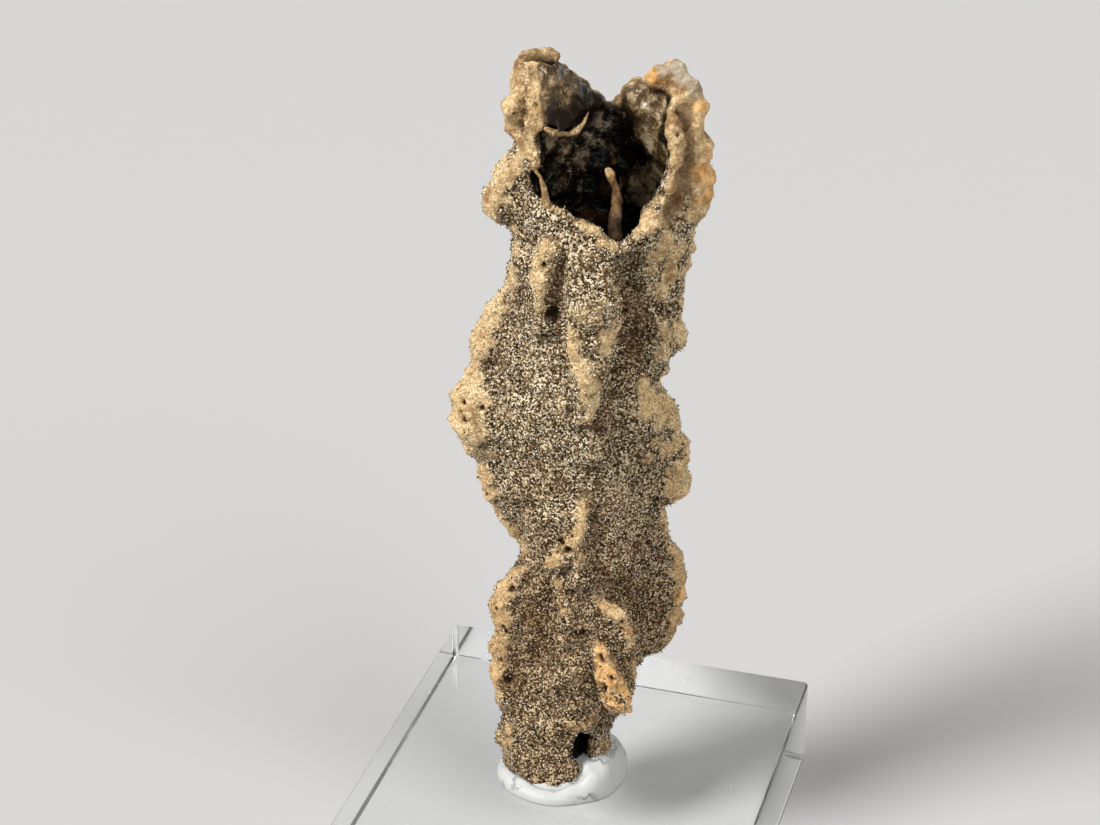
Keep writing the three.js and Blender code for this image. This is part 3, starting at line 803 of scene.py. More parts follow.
        (-5.7, -2.8, 16.7, 0.8), (-5.5, -2.7, 6.6, 0.7), (-5.4, -3, 5, 0.6), (0.8, -7.5, 51.1, 0.7),
        (0.8, -7.7, 50.1, 0.7), (1.6, -8, 48.9, 1), (2.2, -7.9, 47.4, 1.1), (2.3, -7.7, 45.7, 0.9),
        (2.3, -7.4, 44.5, 0.6), (3.8, -7.3, 53.5, 0.6), (3.7, -7.4, 52.2, 0.8), (3.5, -7.5, 50.8, 0.7),
        (3.7, -7.1, 55.2, 0.4), (1.7, -7.3, 53, 0.4), (2.3, -5.5, 61.4, 0.5), (3.2, -6, 60.3, 0.6),
        (4.2, -5.8, 59.9, 0.7), (5.3, -5.6, 59.6, 0.7), (1.9, -5.9, 33.1, 0.4), (1.4, -6.2, 31.3, 0.6),
        (0.4, -5.8, 29.7, 0.7), (-0.7, -5.1, 28.2, 0.8), (-1.3, -5, 27.3, 0.6), (-0.5, -5, 24.7, 0.4),
        (-0.3, -5.2, 23.3, 0.4), (0, -5.9, 22.2, 0.4), (3.8, -5.9, 22.8, 0.6), (4.7, -6.1, 22.2, 0.8),
        (5.6, -6.2, 21.2, 0.8), (6.2, -6.4, 20.1, 0.8), (6.4, -6.5, 18.6, 0.7), (6.6, -6.1, 16.7, 0.5),
        (0.7, -5.5, 8.9, 0.4), (1.7, -5.2, 8.9, 0.5), (2.9, -4.8, 9.8, 0.6), (9, -4, 59.3, 1.1),
        (8.1, -3.8, 58.2, 1), (10.4, -2.8, 58.3, 1), (7.7, -3.3, 56.5, 0.9), (9.6, -2.3, 55.6, 1.1),
        (11, -1.3, 55.6, 0.8), (8.7, -2.8, 54.3, 1), (11.3, -1.7, 58, 0.5), (10.7, -0.8, 52.4, 0.5),
        (10, -1.6, 49.3, 1.2), (10.7, -1.2, 48.9, 0.6), (9.3, -2.4, 48.1, 0.7), (8.9, -2.5, 51, 0.6),
        (7.5, -3.3, 45, 0.8), (8, -3.2, 43.4, 1.3), (9.4, -2.1, 42.3, 1.2), (7.5, -4.3, 42.4, 0.8),
        (9, -2.7, 41, 1.3), (10.2, -1.6, 40.3, 0.8), (10.8, -0.7, 39.4, 0.5), (8.6, -3.1, 39.1, 0.7),
        (10.4, -1.8, 37.4, 0.7), (9.5, -2.2, 37.6, 1), (10.6, -1.5, 35.1, 1.1), (10.1, -1.5, 33, 1.1),
        (11.4, -1.2, 34.9, 0.7), (8.1, -3.6, 37.3, 0.7), (10.5, -0.5, 25.9, 0.7), (11.4, -0.6, 24.6, 0.6),
        (10.9, -0.8, 23.1, 0.8), (11.5, -0.4, 20.2, 0.6), (10.5, -0.1, 16.9, 0.7)],
    "dark": [
        (-2.6, -3.2, 19.8, 1.5), (-1.4, -3.7, 18.6, 1.3), (-2, -3.5, 15.8, 1.6), (8, 1, 72.9, 0.6),
        (8.7, 1, 72.6, 0.6), (9.4, 0.7, 72.4, 0.5), (-2.6, -1.4, 74.6, 0.8), (5.9, -2.9, 54.4, 1.2),
        (6.2, -2.7, 52.3, 1.3), (6.1, -3, 49.9, 1.4), (6.2, -2.9, 48.2, 1), (6.9, -2.9, 51.2, 0.9),
        (-1, -5.7, 57.6, 0.5), (-1.1, -5.5, 56, 0.5), (-1, -5.2, 53.2, 0.4), (-0.6, -5.5, 51.7, 0.5),
        (-3.9, -2.3, 54.3, 0.5), (-4.3, -2.3, 52.8, 0.5), (-4.9, -2.6, 50.2, 0.5), (3.3, -7.7, 48.2, 0.5),
        (4.4, -3.2, 46.5, 0.6), (4.2, -3.9, 44.3, 0.7), (3.9, -4.8, 43.2, 0.8), (3.3, -5.9, 42.2, 1.1),
        (2.3, -6.9, 42.8, 0.8), (2.5, -5.7, 33.7, 0.6), (2.6, -5.2, 31.2, 0.6), (2.7, -5.3, 28.8, 0.6),
        (3.5, -5.4, 26.4, 0.7), (7, -3.2, 27.8, 0.7), (9.2, -1.8, 32, 0.5), (8.2, -2.6, 32.5, 0.5),
        (4, -5, 25.1, 0.8), (5.3, -4.2, 24.4, 0.7), (4.5, -4.7, 23.2, 0.7), (-5.4, -3, 12.2, 0.9),
        (-4.2, -3.1, 11.7, 0.7), (-0.4, -5.3, 20.8, 0.4), (1.7, -6, 19.6, 0.5), (5.9, -6.3, 15, 0.5),
        (4.1, -4.4, 9.8, 0.7), (6.6, -6.3, 20.1, 0.5), (6.9, -5.8, 17.1, 0.6), (-3.1, -3.6, 32.5, 0.6),
        (-0.3, -5.4, 36.4, 0.7), (4.8, -4.8, 41.6, 0.7)],
    "pale": [
        (5.2, -6.2, 21.4, 1.2), (6.3, -6.4, 19, 1), (0.1, -5.8, 54, 0.5), (1, -6.1, 56.3, 1.1),
        (2.3, -6.4, 57.9, 1.1), (-1.7, -5.2, 47.5, 1.6), (-2.6, -5, 44.8, 1.5), (-0.3, -6.3, 45, 1.3),
        (-1.2, -5.8, 41.6, 1.5), (-4, -3.9, 46.8, 1.1), (3.4, -6.5, 39.4, 1.1), (-1.2, -4.9, 32.7, 1.1),
        (1.1, -6.8, 40.1, 1.1), (-5.9, -3.1, 39.2, 1.1)],
}


def insideShare(shape, points):
    # 1 on the inner face of the wall and 0 on the outer one
    x, y, degrees = tubeMiddle(shape, points)
    outer, inner = wallRadii(shape, degrees, points[:, 2])
    plain = np.minimum(outer, inner + shape["wall"])
    middle, change = (plain + inner) / 2, 0.5
    share = 1 - eased((np.hypot(x, y) - middle + change / 2) / change)
    belowRim = eased((along(shape["rim"], degrees) - points[:, 2] + 0.2) / 0.8)
    return share * belowRim


def ballShare(points, balls, ragged=0):
    # 1 in the middle of any of the balls, easing to 0 a little beyond its edge
    share = np.zeros(len(points))
    for x, y, z, radius in balls:
        away = np.linalg.norm(points - (x, y, z), axis=1) / radius
        share = np.maximum(share, eased(1.7 * (1.25 - away - ragged)))
    return share


def lineAway(points, line):
    # How far each point is from a line through the given places
    away = np.full(len(points), np.inf)
    for start, end in zip(np.array(line[:-1]), np.array(line[1:])):
        step = end - start
        share = np.clip((points - start) @ step / (step @ step), 0, 1)
        away = np.minimum(away, np.linalg.norm(points - start - share[:, None] * step, axis=1))
    return away


def strandShare(points, strands, ragged):
    # 1 on the strands and 0 a little way off them
    share = np.zeros(len(points))
    for strand in strands:
        beads = np.array(strand["beads"])
        away = lineAway(points, beads[:, :3]) / beads[:, 3].mean()
        share = np.maximum(share, strand.get("pale", 0.8) * eased(1.5 - away - ragged))
    return share


def raiseSwells(points, normals, swells, outside, ragged):
    # The points with the swells and grooves made, and how brown each of them is: brown sand, and painted
    # shade in the grooves
    brown = np.zeros(len(points))
    for swell in swells:
        away = lineAway(points, swell["line"]) / swell["radius"] + 0.15 * ragged
        share = outside * eased((1 - away) * swell.get("steep", 1))
        points = points + normals * (share * swell["rise"])[:, None]
        brown = np.maximum(brown, share * swell["brown"])
    return points, brown


def glassShare(points, inside, sand, sheets, ragged):
    # 1 on the inside of the wall, on the sheets and in the foot, but 0 on the broken edges
    share = np.arange(10) / 9
    for sheet in sheets:
        places = sheetPlaces(sheet["rows"], np.tile(share, 10), np.repeat(share, 10))
        balls = np.column_stack([places, np.full(len(places), sand["sheetBall"])])
        inside = np.maximum(inside, ballShare(points, balls, 1.1 * ragged))
    inside = np.maximum(inside, ballShare(points, sand["plug"]))
    for line in sand["edges"]:
        inside = inside * eased(lineAway(points, line) / sand["edgeWidth"] + ragged - 0.4)
    return inside


def findPits(points, places, ragged):
    # How much each point is in a pit, and how deep it is sunk; each place has a radius and a depth
    tree = kdtree.KDTree(len(points))
    for number, point in enumerate(points):
        tree.insert(point, number)
    tree.balance()
    pit, depth = np.zeros(len(points)), np.zeros(len(points))
    wider = 1.6  # how far past its radius a pit's ragged edge can go
    for place, radius, deep in places:
        _, nearest, _ = tree.find(place)
        for _, near, away in tree.find_range(points[nearest], radius * wider):
            share = eased(1.3 - (away / radius / wider) ** 2 - 0.9 * abs(ragged[near]))
            pit[near] = max(pit[near], share)
            depth[near] = max(depth[near], share * deep)
    return pit, depth


def sculptSand(mesh, shape, sand, strands, sheets):
    points = spread(mesh, readPoints(mesh), sand["join"])
    inside = insideShare(shape, points)
    ragged = lumps(points, sand["ragged"], 83)
    strand = strandShare(points, strands, ragged)
    writePoints(mesh, points)
    points, brown = raiseSwells(points, readNormals(mesh), sand["swells"], 1 - inside, ragged)
    points = pulled(points, sand["pulls"])
    writePoints(mesh, points)
    normals = readNormals(mesh)

    inside = glassShare(points, inside, sand, sheets, ragged)
    high = eased((points[:, 2] - sand["smoothAbove"] + 7 * ragged) / 2.5)
    smooth = np.maximum(ballShare(points, sand["smooth"], ragged), high) * (1 - inside)
    back = eased(points[:, 1] - 1) * eased(lumps(points, sand["back"], 85))
    cream = np.maximum(ballShare(points, sand["cream"], ragged), back)
    # dark brown sand, with painted shade in hollows, under ridges and under the horn
    dark = ballShare(points, sand["dark"], ragged)
    pale = ballShare(points, sand["pale"], ragged)
    crest = ((points - spread(mesh, points, sand["crestRounds"])) * normals).sum(1)
    rise = lumps(points, sand["outside"], 60) * (1 - inside) + lumps(points, sand["inside"], 70) * inside
    rise += lumps(points, sand["smoothLumps"], 74) * smooth
    points = points + normals * rise[:, None]

    pits, holes = sand["pits"], sand["holes"]
    onCrests = np.flatnonzero((inside < 0.1) & (crest > 0.05) & (points[:, 2] < 72))
    places = [(points[number], random.uniform(*pits["radius"]), pits["depth"])
              for number in random.sample(list(onCrests), pits["count"])]
    places += [(hole[:3], hole[3], holes["depth"]) for hole in holes["at"]]
    pit, depth = findPits(points, places, ragged)
    points = points - normals * depth[:, None]
    writePoints(mesh, points)

    height = points[:, 2]
    seam = 4 * inside * (1 - inside) * eased((height - 68) / 2)
    blotch = lumps(points, sand["blotches"], 81)
    shares = {
        "crest": crest,
        "strand": strand,
        "blotch": blotch,
        "cream": cream,
        "smooth": smooth,
        "dark": dark,
        "wing": crestShare(shape, points),
        "speckled": ballShare(points, sand["speckled"], ragged),
        "foot": eased((26 - height) / 5),
    }
    values = {
        "inside": inside,
        "ridge": sum((sand["paler"][name] * share for name, share in shares.items()), sand["plain"]),
        # darker towards the bottom, with blotches; the dark balls add painted shade and the pale ones lessen
        # it
        "shade": np.interp(height, *sand["shade"]) + blotch + 0.4 * dark - 0.5 * pale,
        "smooth": smooth,
        "brown": np.maximum(np.maximum(brown, seam), 0.45 * dark),
        "pit": pit,
    }
    for name, uneven in {"amber": 1.5, "white": 1, "milky": 1, "frost": 1, "soot": 0.5}.items():
        values[name] = ballShare(points, sand[name], uneven * ragged)
    setAttributes(mesh, values)
    print("sculpted", len(points), "points")


grainShape = {
    "size": (0.05, 0.105),  # radius of the smallest and the largest
    "uneven": (0.75, 1.25),  # how far a grain's three radii differ
    "jitter": 0.16,
    "each": 1.4,  # grains for each point of the mesh
    "cells": 127,  # grains along each side of a piece's own map
    "above": 1.0,  # none below this height
    "mixed": 0.35,  # how far the kinds stray between hollows and ridges
    "bare": {"ridge": [(0.6, 0.9), (0, 0.3)], "smooth": 1.6, "amber": 0.7},  # share of the points left bare
    "sunk": [(0.4, 0.8), (0.1, 0.6)],  # ridge, and the share of a grain that is in the crust
    "dim": [(0.2, 0.9), (1, 0.55)],  # shade, and how bright the grains are: dimmer where the sand is darkened, painted shade included
    "tones": (0.45, 1.3),
    # "share" is how much of the sand is of this kind in hollows, on flats and on ridges
    "kinds": {
        "pale_grains": {"share": (0.24, 0.3, 0.32), "colour": (0.9, 0.81, 0.64),
                        "roughness": 0.25, "specular": 0.5},
        "tan_grains": {"share": (0.12, 0.32, 0.68), "colour": (0.47, 0.35, 0.185),
                       "roughness": 0.45, "specular": 0.25},
        "brown_grains": {"share": (0.34, 0.25, 0), "colour": (0.13, 0.08, 0.032),
                         "roughness": 0.65, "specular": 0.05},
        "dark_grains": {"share": (0.3, 0.13, 0), "colour": (0.034, 0.018, 0.005),
                        "roughness": 0.8, "specular": 0.05},
    },
}


def randomTurns(pick, count):
    turns = pick.normal(size=(4, count))
    w, x, y, z = turns / np.linalg.norm(turns, axis=0)
    return np.stack([
        np.stack([1 - 2 * (y * y + z * z), 2 * (x * y - w * z), 2 * (x * z + w * y)], 1),
        np.stack([2 * (x * y + w * z), 1 - 2 * (x * x + z * z), 2 * (y * z - w * x)], 1),
        np.stack([2 * (x * z - w * y), 2 * (y * z + w * x), 1 - 2 * (x * x + y * y)], 1),
    ], 1)


def joinCopies(name, places, turns, sizes, tones, cells):
    # One small octahedron at every place, joined in one mesh, each with its own cell of the map
    bm = bmesh.new()
    bmesh.ops.create_uvsphere(bm, u_segments=4, v_segments=2, radius=1)
    corners = np.array([v.co for v in bm.verts])
    faces = np.array([[v.index for v in face.verts] for face in bm.faces])
    bm.free()
    count, each = len(places), len(corners)
    points = places[:, None] + np.einsum("nij,nkj->nki", turns, corners * sizes[:, None])
    loops = (faces + np.arange(count)[:, None, None] * each).reshape(-1)
    mesh = bpy.data.meshes.new(name)
    mesh.vertices.add(count * each)
    mesh.loops.add(len(loops))
    mesh.polygons.add(len(loops) // 3)
    mesh.vertices.foreach_set("co", points.astype(np.float32).ravel())
    mesh.loops.foreach_set("vertex_index", loops.astype(np.int32))
    mesh.polygons.foreach_set("loop_start", np.arange(0, len(loops), 3, dtype=np.int32))
    mesh.update(calc_edges=True)
    setAttributes(mesh, {"tone": np.repeat(tones, each)})
    inCell = np.array([(0.2, 0.2), (0.8, 0.2), (0.5, 0.8)])  # where a face's corners are in its cell
    cell = np.stack(np.divmod(np.arange(count), cells), 1)
    uv = (cell[:, None, None] + inCell) / cells
    uv = np.broadcast_to(uv, (count, len(faces), 3, 2)).astype(np.float32)
    mesh.uv_layers.new(name="OFBake").data.foreach_set("uv", uv.ravel())
    return placeMesh(name, mesh)


def scatterGrains(mesh, shape):
    pick = np.random.default_rng(11)
    points, normals = readPoints(mesh), readNormals(mesh)
    names = "inside", "ridge", "pit", "shade", "smooth", "amber"
    inside, ridge, pit, shade, smooth, amber = (readAttribute(mesh, name) for name in names)
    bare = shape["bare"]
    bareShare = np.interp(ridge, *bare["ridge"]) + bare["smooth"] * smooth + bare["amber"] * amber
    loose = pick.random(len(points)) > bareShare
    chosen = np.flatnonzero(loose & (inside < 0.3) & (pit < 0.3) & (points[:, 2] > shape["above"]))
    chosen = pick.choice(chosen, int(shape["each"] * len(chosen)))
    points, normals, ridge, shade = points[chosen], normals[chosen], ridge[chosen], shade[chosen]
    count = len(chosen)
    zone = np.clip(2 * ridge + pick.normal(0, shape["mixed"], count), 0, 2)  # 0 hollow, 1 flat, 2 ridge
    shares = np.array([kind["share"] for kind in shape["kinds"].values()])
    at = np.stack([np.interp(zone, (0, 1, 2), share) for share in shares], 1)
    choice = (pick.random(count)[:, None] > np.cumsum(at / at.sum(1, keepdims=True), 1)).sum(1)
    size = pick.uniform(*shape["size"], (count, 1)) * pick.uniform(*shape["uneven"], (count, 3))
    sink = size.mean(1) * np.interp(ridge, *shape["sunk"])
    places = points - normals * sink[:, None] + pick.uniform(-1, 1, points.shape) * shape["jitter"]
    turns = randomTurns(pick, count)
    tones = pick.random(count) * np.interp(shade, *shape["dim"])
    print("grains", count)
    for number, (name, kind) in enumerate(shape["kinds"].items()):
        mine = np.flatnonzero(choice == number)[: shape["cells"] ** 2]
        print(name, len(mine), "of", (choice == number).sum())
        piece = joinCopies(name, places[mine], turns[mine], size[mine], tones[mine], shape["cells"])
        piece.data.transform(toBlock)
        piece.data.shade_smooth()
        piece.data.materials.append(tonedMaterial(
            name, kind["colour"], shape["tones"],
            Roughness=kind["roughness"], Specular_IOR_Level=kind["specular"]))
        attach(piece, "root")


# Spikes of glass in the mouth
spikeShape = {
    "voxel": 0.11,
    "join": 3,  # rounds of smoothing
    "lumps": [(0.9, 0.12), (0.4, 0.06)],
    "middle": {"right": 3, "deep": (61.8, 63.2), "tip": (65.2, 66.2)},  # where it is, where it is painted near black as deep shadow and where it is pale
    "step": 0.45,
    "uneven": 0.3,
    "strands": [
        {"name": "middle", "sink": 0, "beads": [
            (3.85, -3.2, 66.1, 0.3), (4.1, -3.3, 65.5, 0.4), (4.45, -3.5, 64.6, 0.44),
            (4.6, -3.8, 63.6, 0.46), (4.5, -4.2, 62.4, 0.5), (4.4, -4.6, 61.3, 0.7), (4.5, -5, 60.6, 0.7)]},
        {"name": "left", "sink": 0, "beads": [
            (-2.7, -3.8, 66.6, 0.22), (-2.2, -3.9, 65.8, 0.25), (-1.9, -4, 65, 0.28),
            (-1.7, -4.2, 64.2, 0.26), (-1.6, -4.5, 63.3, 0.4)]},
        {"name": "slanting", "sink": 0, "beads": [
            (2.1, -2, 71.2, 0.1), (1.8, -2.3, 70.5, 0.2), (1.3, -2.6, 69.9, 0.24), (1, -2.8, 69.6, 0.3),
            (0.4, -3, 69.4, 0.3), (-0.3, -3.3, 69.6, 0.3), (-1, -3.4, 69.7, 0.34),
            (-1.7, -3.4, 70.1, 0.3)]},
        {"name": "stub at the back", "sink": 0, "beads": [(4.3, 3.9, 64.7, 0.22), (4.4, 4.6, 63.8, 0.4)]},
    ],
}


def makeSpikes(shape, tube):
    bm = bmesh.new()
    addStrands(bm, shape, tube)
    spikes = newPiece("fulgurite_spikes", bm)
    remesh(spikes, shape["voxel"])
    mesh = spikes.data
    points = spread(mesh, readPoints(mesh), shape["join"])
    writePoints(mesh, points)
    rise = lumps(points, shape["lumps"], 90)
    writePoints(mesh, points + readNormals(mesh) * rise[:, None])
    # the middle one is brown below a pale tip, and painted near black as deep shadow where it joins the wall
    middle = points[:, 0] > shape["middle"]["right"]
    deep = np.interp(points[:, 2], shape["middle"]["deep"], (1, 0)) * middle
    tip = np.interp(points[:, 2], shape["middle"]["tip"], (0, 1))
    setAttributes(mesh, {
        "inside": 0.2 + 0.8 * deep - 0.2 * middle,
        "shade": 0.3 + middle * (0.7 - 0.7 * tip),
        "brown": 0.35 + 0.8 * noiseAt(points, 0.8, 95) + middle * (0.7 - tip),
        "soot": deep,
        "pit": middle * (0.75 - 0.75 * tip + 0.3 * noiseAt(points, 0.6, 96)),
        "ridge": 0.75,
        "amber": 0.15 + 0.35 * middle * (1 - tip),
        "milky": 1,
        "smooth": 1,
    })
    mesh.transform(toBlock)
    mesh.shade_smooth()
    print("spikes", len(points), "points")
    return spikes


puttyShape = {
    "half": (6.5, 5.65),
    "middle": (0.0, -1.1),
    # degrees round the dab, and its height there
    "height": [
        (-180, 2.2), (-100, 1.6), (-75, 2.4), (-55, 3.8), (-35, 4.3), (-10, 4.5), (40, 3.9), (100, 2.6),
        (180, 2.2)],
    "pressed": {"at": (-0.8, -0.6), "radius": 3.3, "share": 0.75},  # lower where the foot stands on it
    "square": 0.62,  # 1 is a half ball, less has a flatter top and steeper sides
    "waves": [(0.8, 0.045), (0.3, 0.02)],  # size and share of the waves in its outline
    "dents": (0.2, 0.05),  # height of the large and the small ones
    "fold": {"at": 0.8, "width": 0.04, "depth": 0.3},
    "lesserFold": {"before": 0.12, "width": 0.03, "share": 0.5},
    "colour": (0.43, 0.435, 0.42),
    "veinAndShadeGrey": (0.12, 0.13, 0.13),
}


def makePutty(shape):
    bm = bmesh.new()
    bmesh.ops.create_icosphere(bm, subdivisions=6, radius=1)
    putty = newPiece("putty_dab", bm)
    mesh = putty.data
    points = readPoints(mesh)
    flat = np.maximum(np.hypot(points[:, 0], points[:, 1]), 1e-6)
    turn = np.arctan2(points[:, 1], points[:, 0])
    ring = np.stack([np.cos(turn), np.sin(turn), turn * 0], 1)
    wide = (1 + lumps(ring, shape["waves"], 101)) * flat ** shape["square"] / flat
    high = along(shape["height"], np.degrees(turn))
    middle = np.mean([height for _, height in shape["height"]])
    high = (middle + (high - middle) * eased(1.6 * flat)) * np.maximum(points[:, 2], 0) ** shape["square"]
    fold, lesser = shape["fold"], shape["lesserFold"]
    away = flat * wide - fold["at"] - 0.06 * noiseAt(ring, 0.5, 103)
    crease = np.exp(-(away / fold["width"]) ** 2)
    second = np.exp(-((away + lesser["before"]) / lesser["width"]) ** 2)
    crease += lesser["share"] * second * eased(noiseAt(ring, 0.4, 106) + 0.5)
    crease *= eased(0.4 - 0.9 * np.sin(turn + 0.9)) * (points[:, 2] > 0)  # at the front and left only
    large, small = shape["dents"]
    soft = large * noiseAt(points * (1, 1, 0.3), 0.42, 104) + small * noiseAt(points, 0.16, 105)
    points = points * np.stack([wide, wide, np.ones_like(wide)], 1) * (*shape["half"], 1)
    points[:, 2] = np.maximum(high + (high > 0.4) * (soft - crease * fold["depth"]), 0)
    points[:, :2] += shape["middle"]
    pressed = shape["pressed"]
    away = np.linalg.norm(points[:, :2] - pressed["at"], axis=1)
    points[:, 2] *= 1 - pressed["share"] * eased((pressed["radius"] - away) / 0.9)
    writePoints(mesh, points)
    setAttributes(mesh, {"crease": crease})
    mesh.transform(toBlock)
    mesh.shade_smooth()
    print("putty", len(points), "points")
    return putty


def whitePutty(shape):
    material, wire, shader = newMaterial("white_putty", shape["colour"], Roughness=0.55)
    # thin grey veins, in some places only, and painted shade along the fold
    vein = 1 - wire.maths("ABSOLUTE", wire.noise(140, 5, 0.62) - 0.5).between(0, 0.03)
    streak = vein * wire.noise(120, 2).between(0.42, 0.52)
    veinsAndFoldShade = (streak * 0.9 + wire.attribute("crease") * 0.3).clamped()
    veinsAndFoldShade.blend(shape["colour"], shape["veinAndShadeGrey"]).into(shader, "Base Color")
    (0.42 + 0.25 * wire.noise(900)).into(shader, "Roughness")
    wire.noise(1600, 4).bump(0.15, 0.0002).into(shader, "Normal")
    return material


blockShape = {
    "edge": 0.00045,
    "tint": (0.97, 0.985, 0.99),
    "index": 1.49,
    "roughness": 0.015,
    "scratches": 0.1,  # how much rougher the scratches are
}


def makeBlock(shape, low, high):
    bm = bmesh.new()
    place = Matrix.Translation((low + high) / 2) @ Matrix.Diagonal((*(high - low), 1))
    bmesh.ops.create_cube(bm, size=1, matrix=place)
    bmesh.ops.bevel(
        bm, geom=bm.edges, offset=shape["edge"], affect="EDGES", segments=3, profile=0.5, material=-1)
    block = newPiece("clear_block", bm)
    block.data.shade_smooth()
    addModifier(block, "WEIGHTED_NORMAL", keep_sharp=True)
    applyModifiers(block)
    print("block", len(block.data.polygons), "faces")
    return block


def clearAcrylic(shape):
    material, wire, shader = newMaterial(
        "clear_acrylic", shape["tint"], Transmission_Weight=1.0, IOR=shape["index"], Roughness=0.02)
    scratch = wire.noise(90, 6, 0.7).between(0.6, 0.75)
    (shape["roughness"] + shape["scratches"] * scratch).into(shader, "Roughness")
    return material


# Dust on the block, in millimetres
dustShape = {
    "count": 60,
    "size": (0.03, 0.11),
    "flat": 0.05,
    "clear": (7, 6.2),  # none this near the middle of the putty
    "edge": 1.5,  # or this near the block's edge
    "cells": 8,
    "colour": (0.75, 0.74, 0.7),
    "tones": (0.5, 1),
}


def makeDust(shape, putty, high):
    pick = np.random.default_rng(23)
    count = shape["count"]
    reach = high.x * 1000 - shape["edge"]
    places = np.stack([*pick.uniform(-reach, reach, (2, count)), np.full(count, 0.03)], 1)
    away = np.linalg.norm((places - (*putty["middle"], 0)) / (*shape["clear"], 1), axis=1)
    places = places[away > 1]
    count = len(places)
    size = pick.uniform(*shape["size"], (count, 1)) * pick.uniform(0.5, 1.6, (count, 3))
    size[:, 2] = shape["flat"]
    turns = np.array([Matrix.Rotation(turn, 3, "Z") for turn in pick.uniform(0, math.tau, count)])
    dust = joinCopies("dust_specks", places, turns, size, pick.random(count), shape["cells"])
    dust.data.transform(Matrix.Translation((0, 0, high.z)) @ Matrix.Scale(0.001, 4))
    print("dust", count, "specks")
    return dust


sandLook = {
    "grain": 0.00017,  # across one grain
    # from the darkest to the palest grains
    "flat": [(0.018, 0.01, 0.003), (0.105, 0.063, 0.024), (0.26, 0.185, 0.1), (0.75, 0.64, 0.45)],
    "ridge": [(0.24, 0.15, 0.068), (0.46, 0.315, 0.155), (0.64, 0.47, 0.25), (0.84, 0.67, 0.41)],
    "brown": (0.11, 0.053, 0.02),
    "shade": (0.66, 0.55, 0.45),  # what the sand is multiplied by where it is darkest: towards the bottom and in painted shade
    "mottle": (0.5, 0.41, 0.31),
    "amber": (0.8, 0.44, 0.155),
    "white": (0.42, 0.38, 0.3),
    "stain": (0.27, 0.15, 0.06),
    # near black brown of the pits: painted shade
    "pit": (0.05, 0.022, 0.009),
    "glass": [(0.004, 0.003, 0.0015), (0.027, 0.02, 0.0095), (0.25, 0.2, 0.13)],
    "milkyGlass": [(0.048, 0.029, 0.011), (0.14, 0.088, 0.038), (0.4, 0.31, 0.19)],
    "brownGlass": (0.07, 0.028, 0.009),
    "soot": (0.012, 0.006, 0.003),
    "specular": 0.13,
    "coatRoughness": 0.06,
    # how many lumps or cells of each pattern there are in a metre
    "drift": 260,
    "stains": 480,
    "ambers": 900,
    "whites": 1100,
    "mottles": 720,
    "bubbles": 2600,
    "clouds": 900,
    "brownPatches": 300,
    "fine": 2600,
    "flow": 900,
    "whiteLumps": 1500,
}


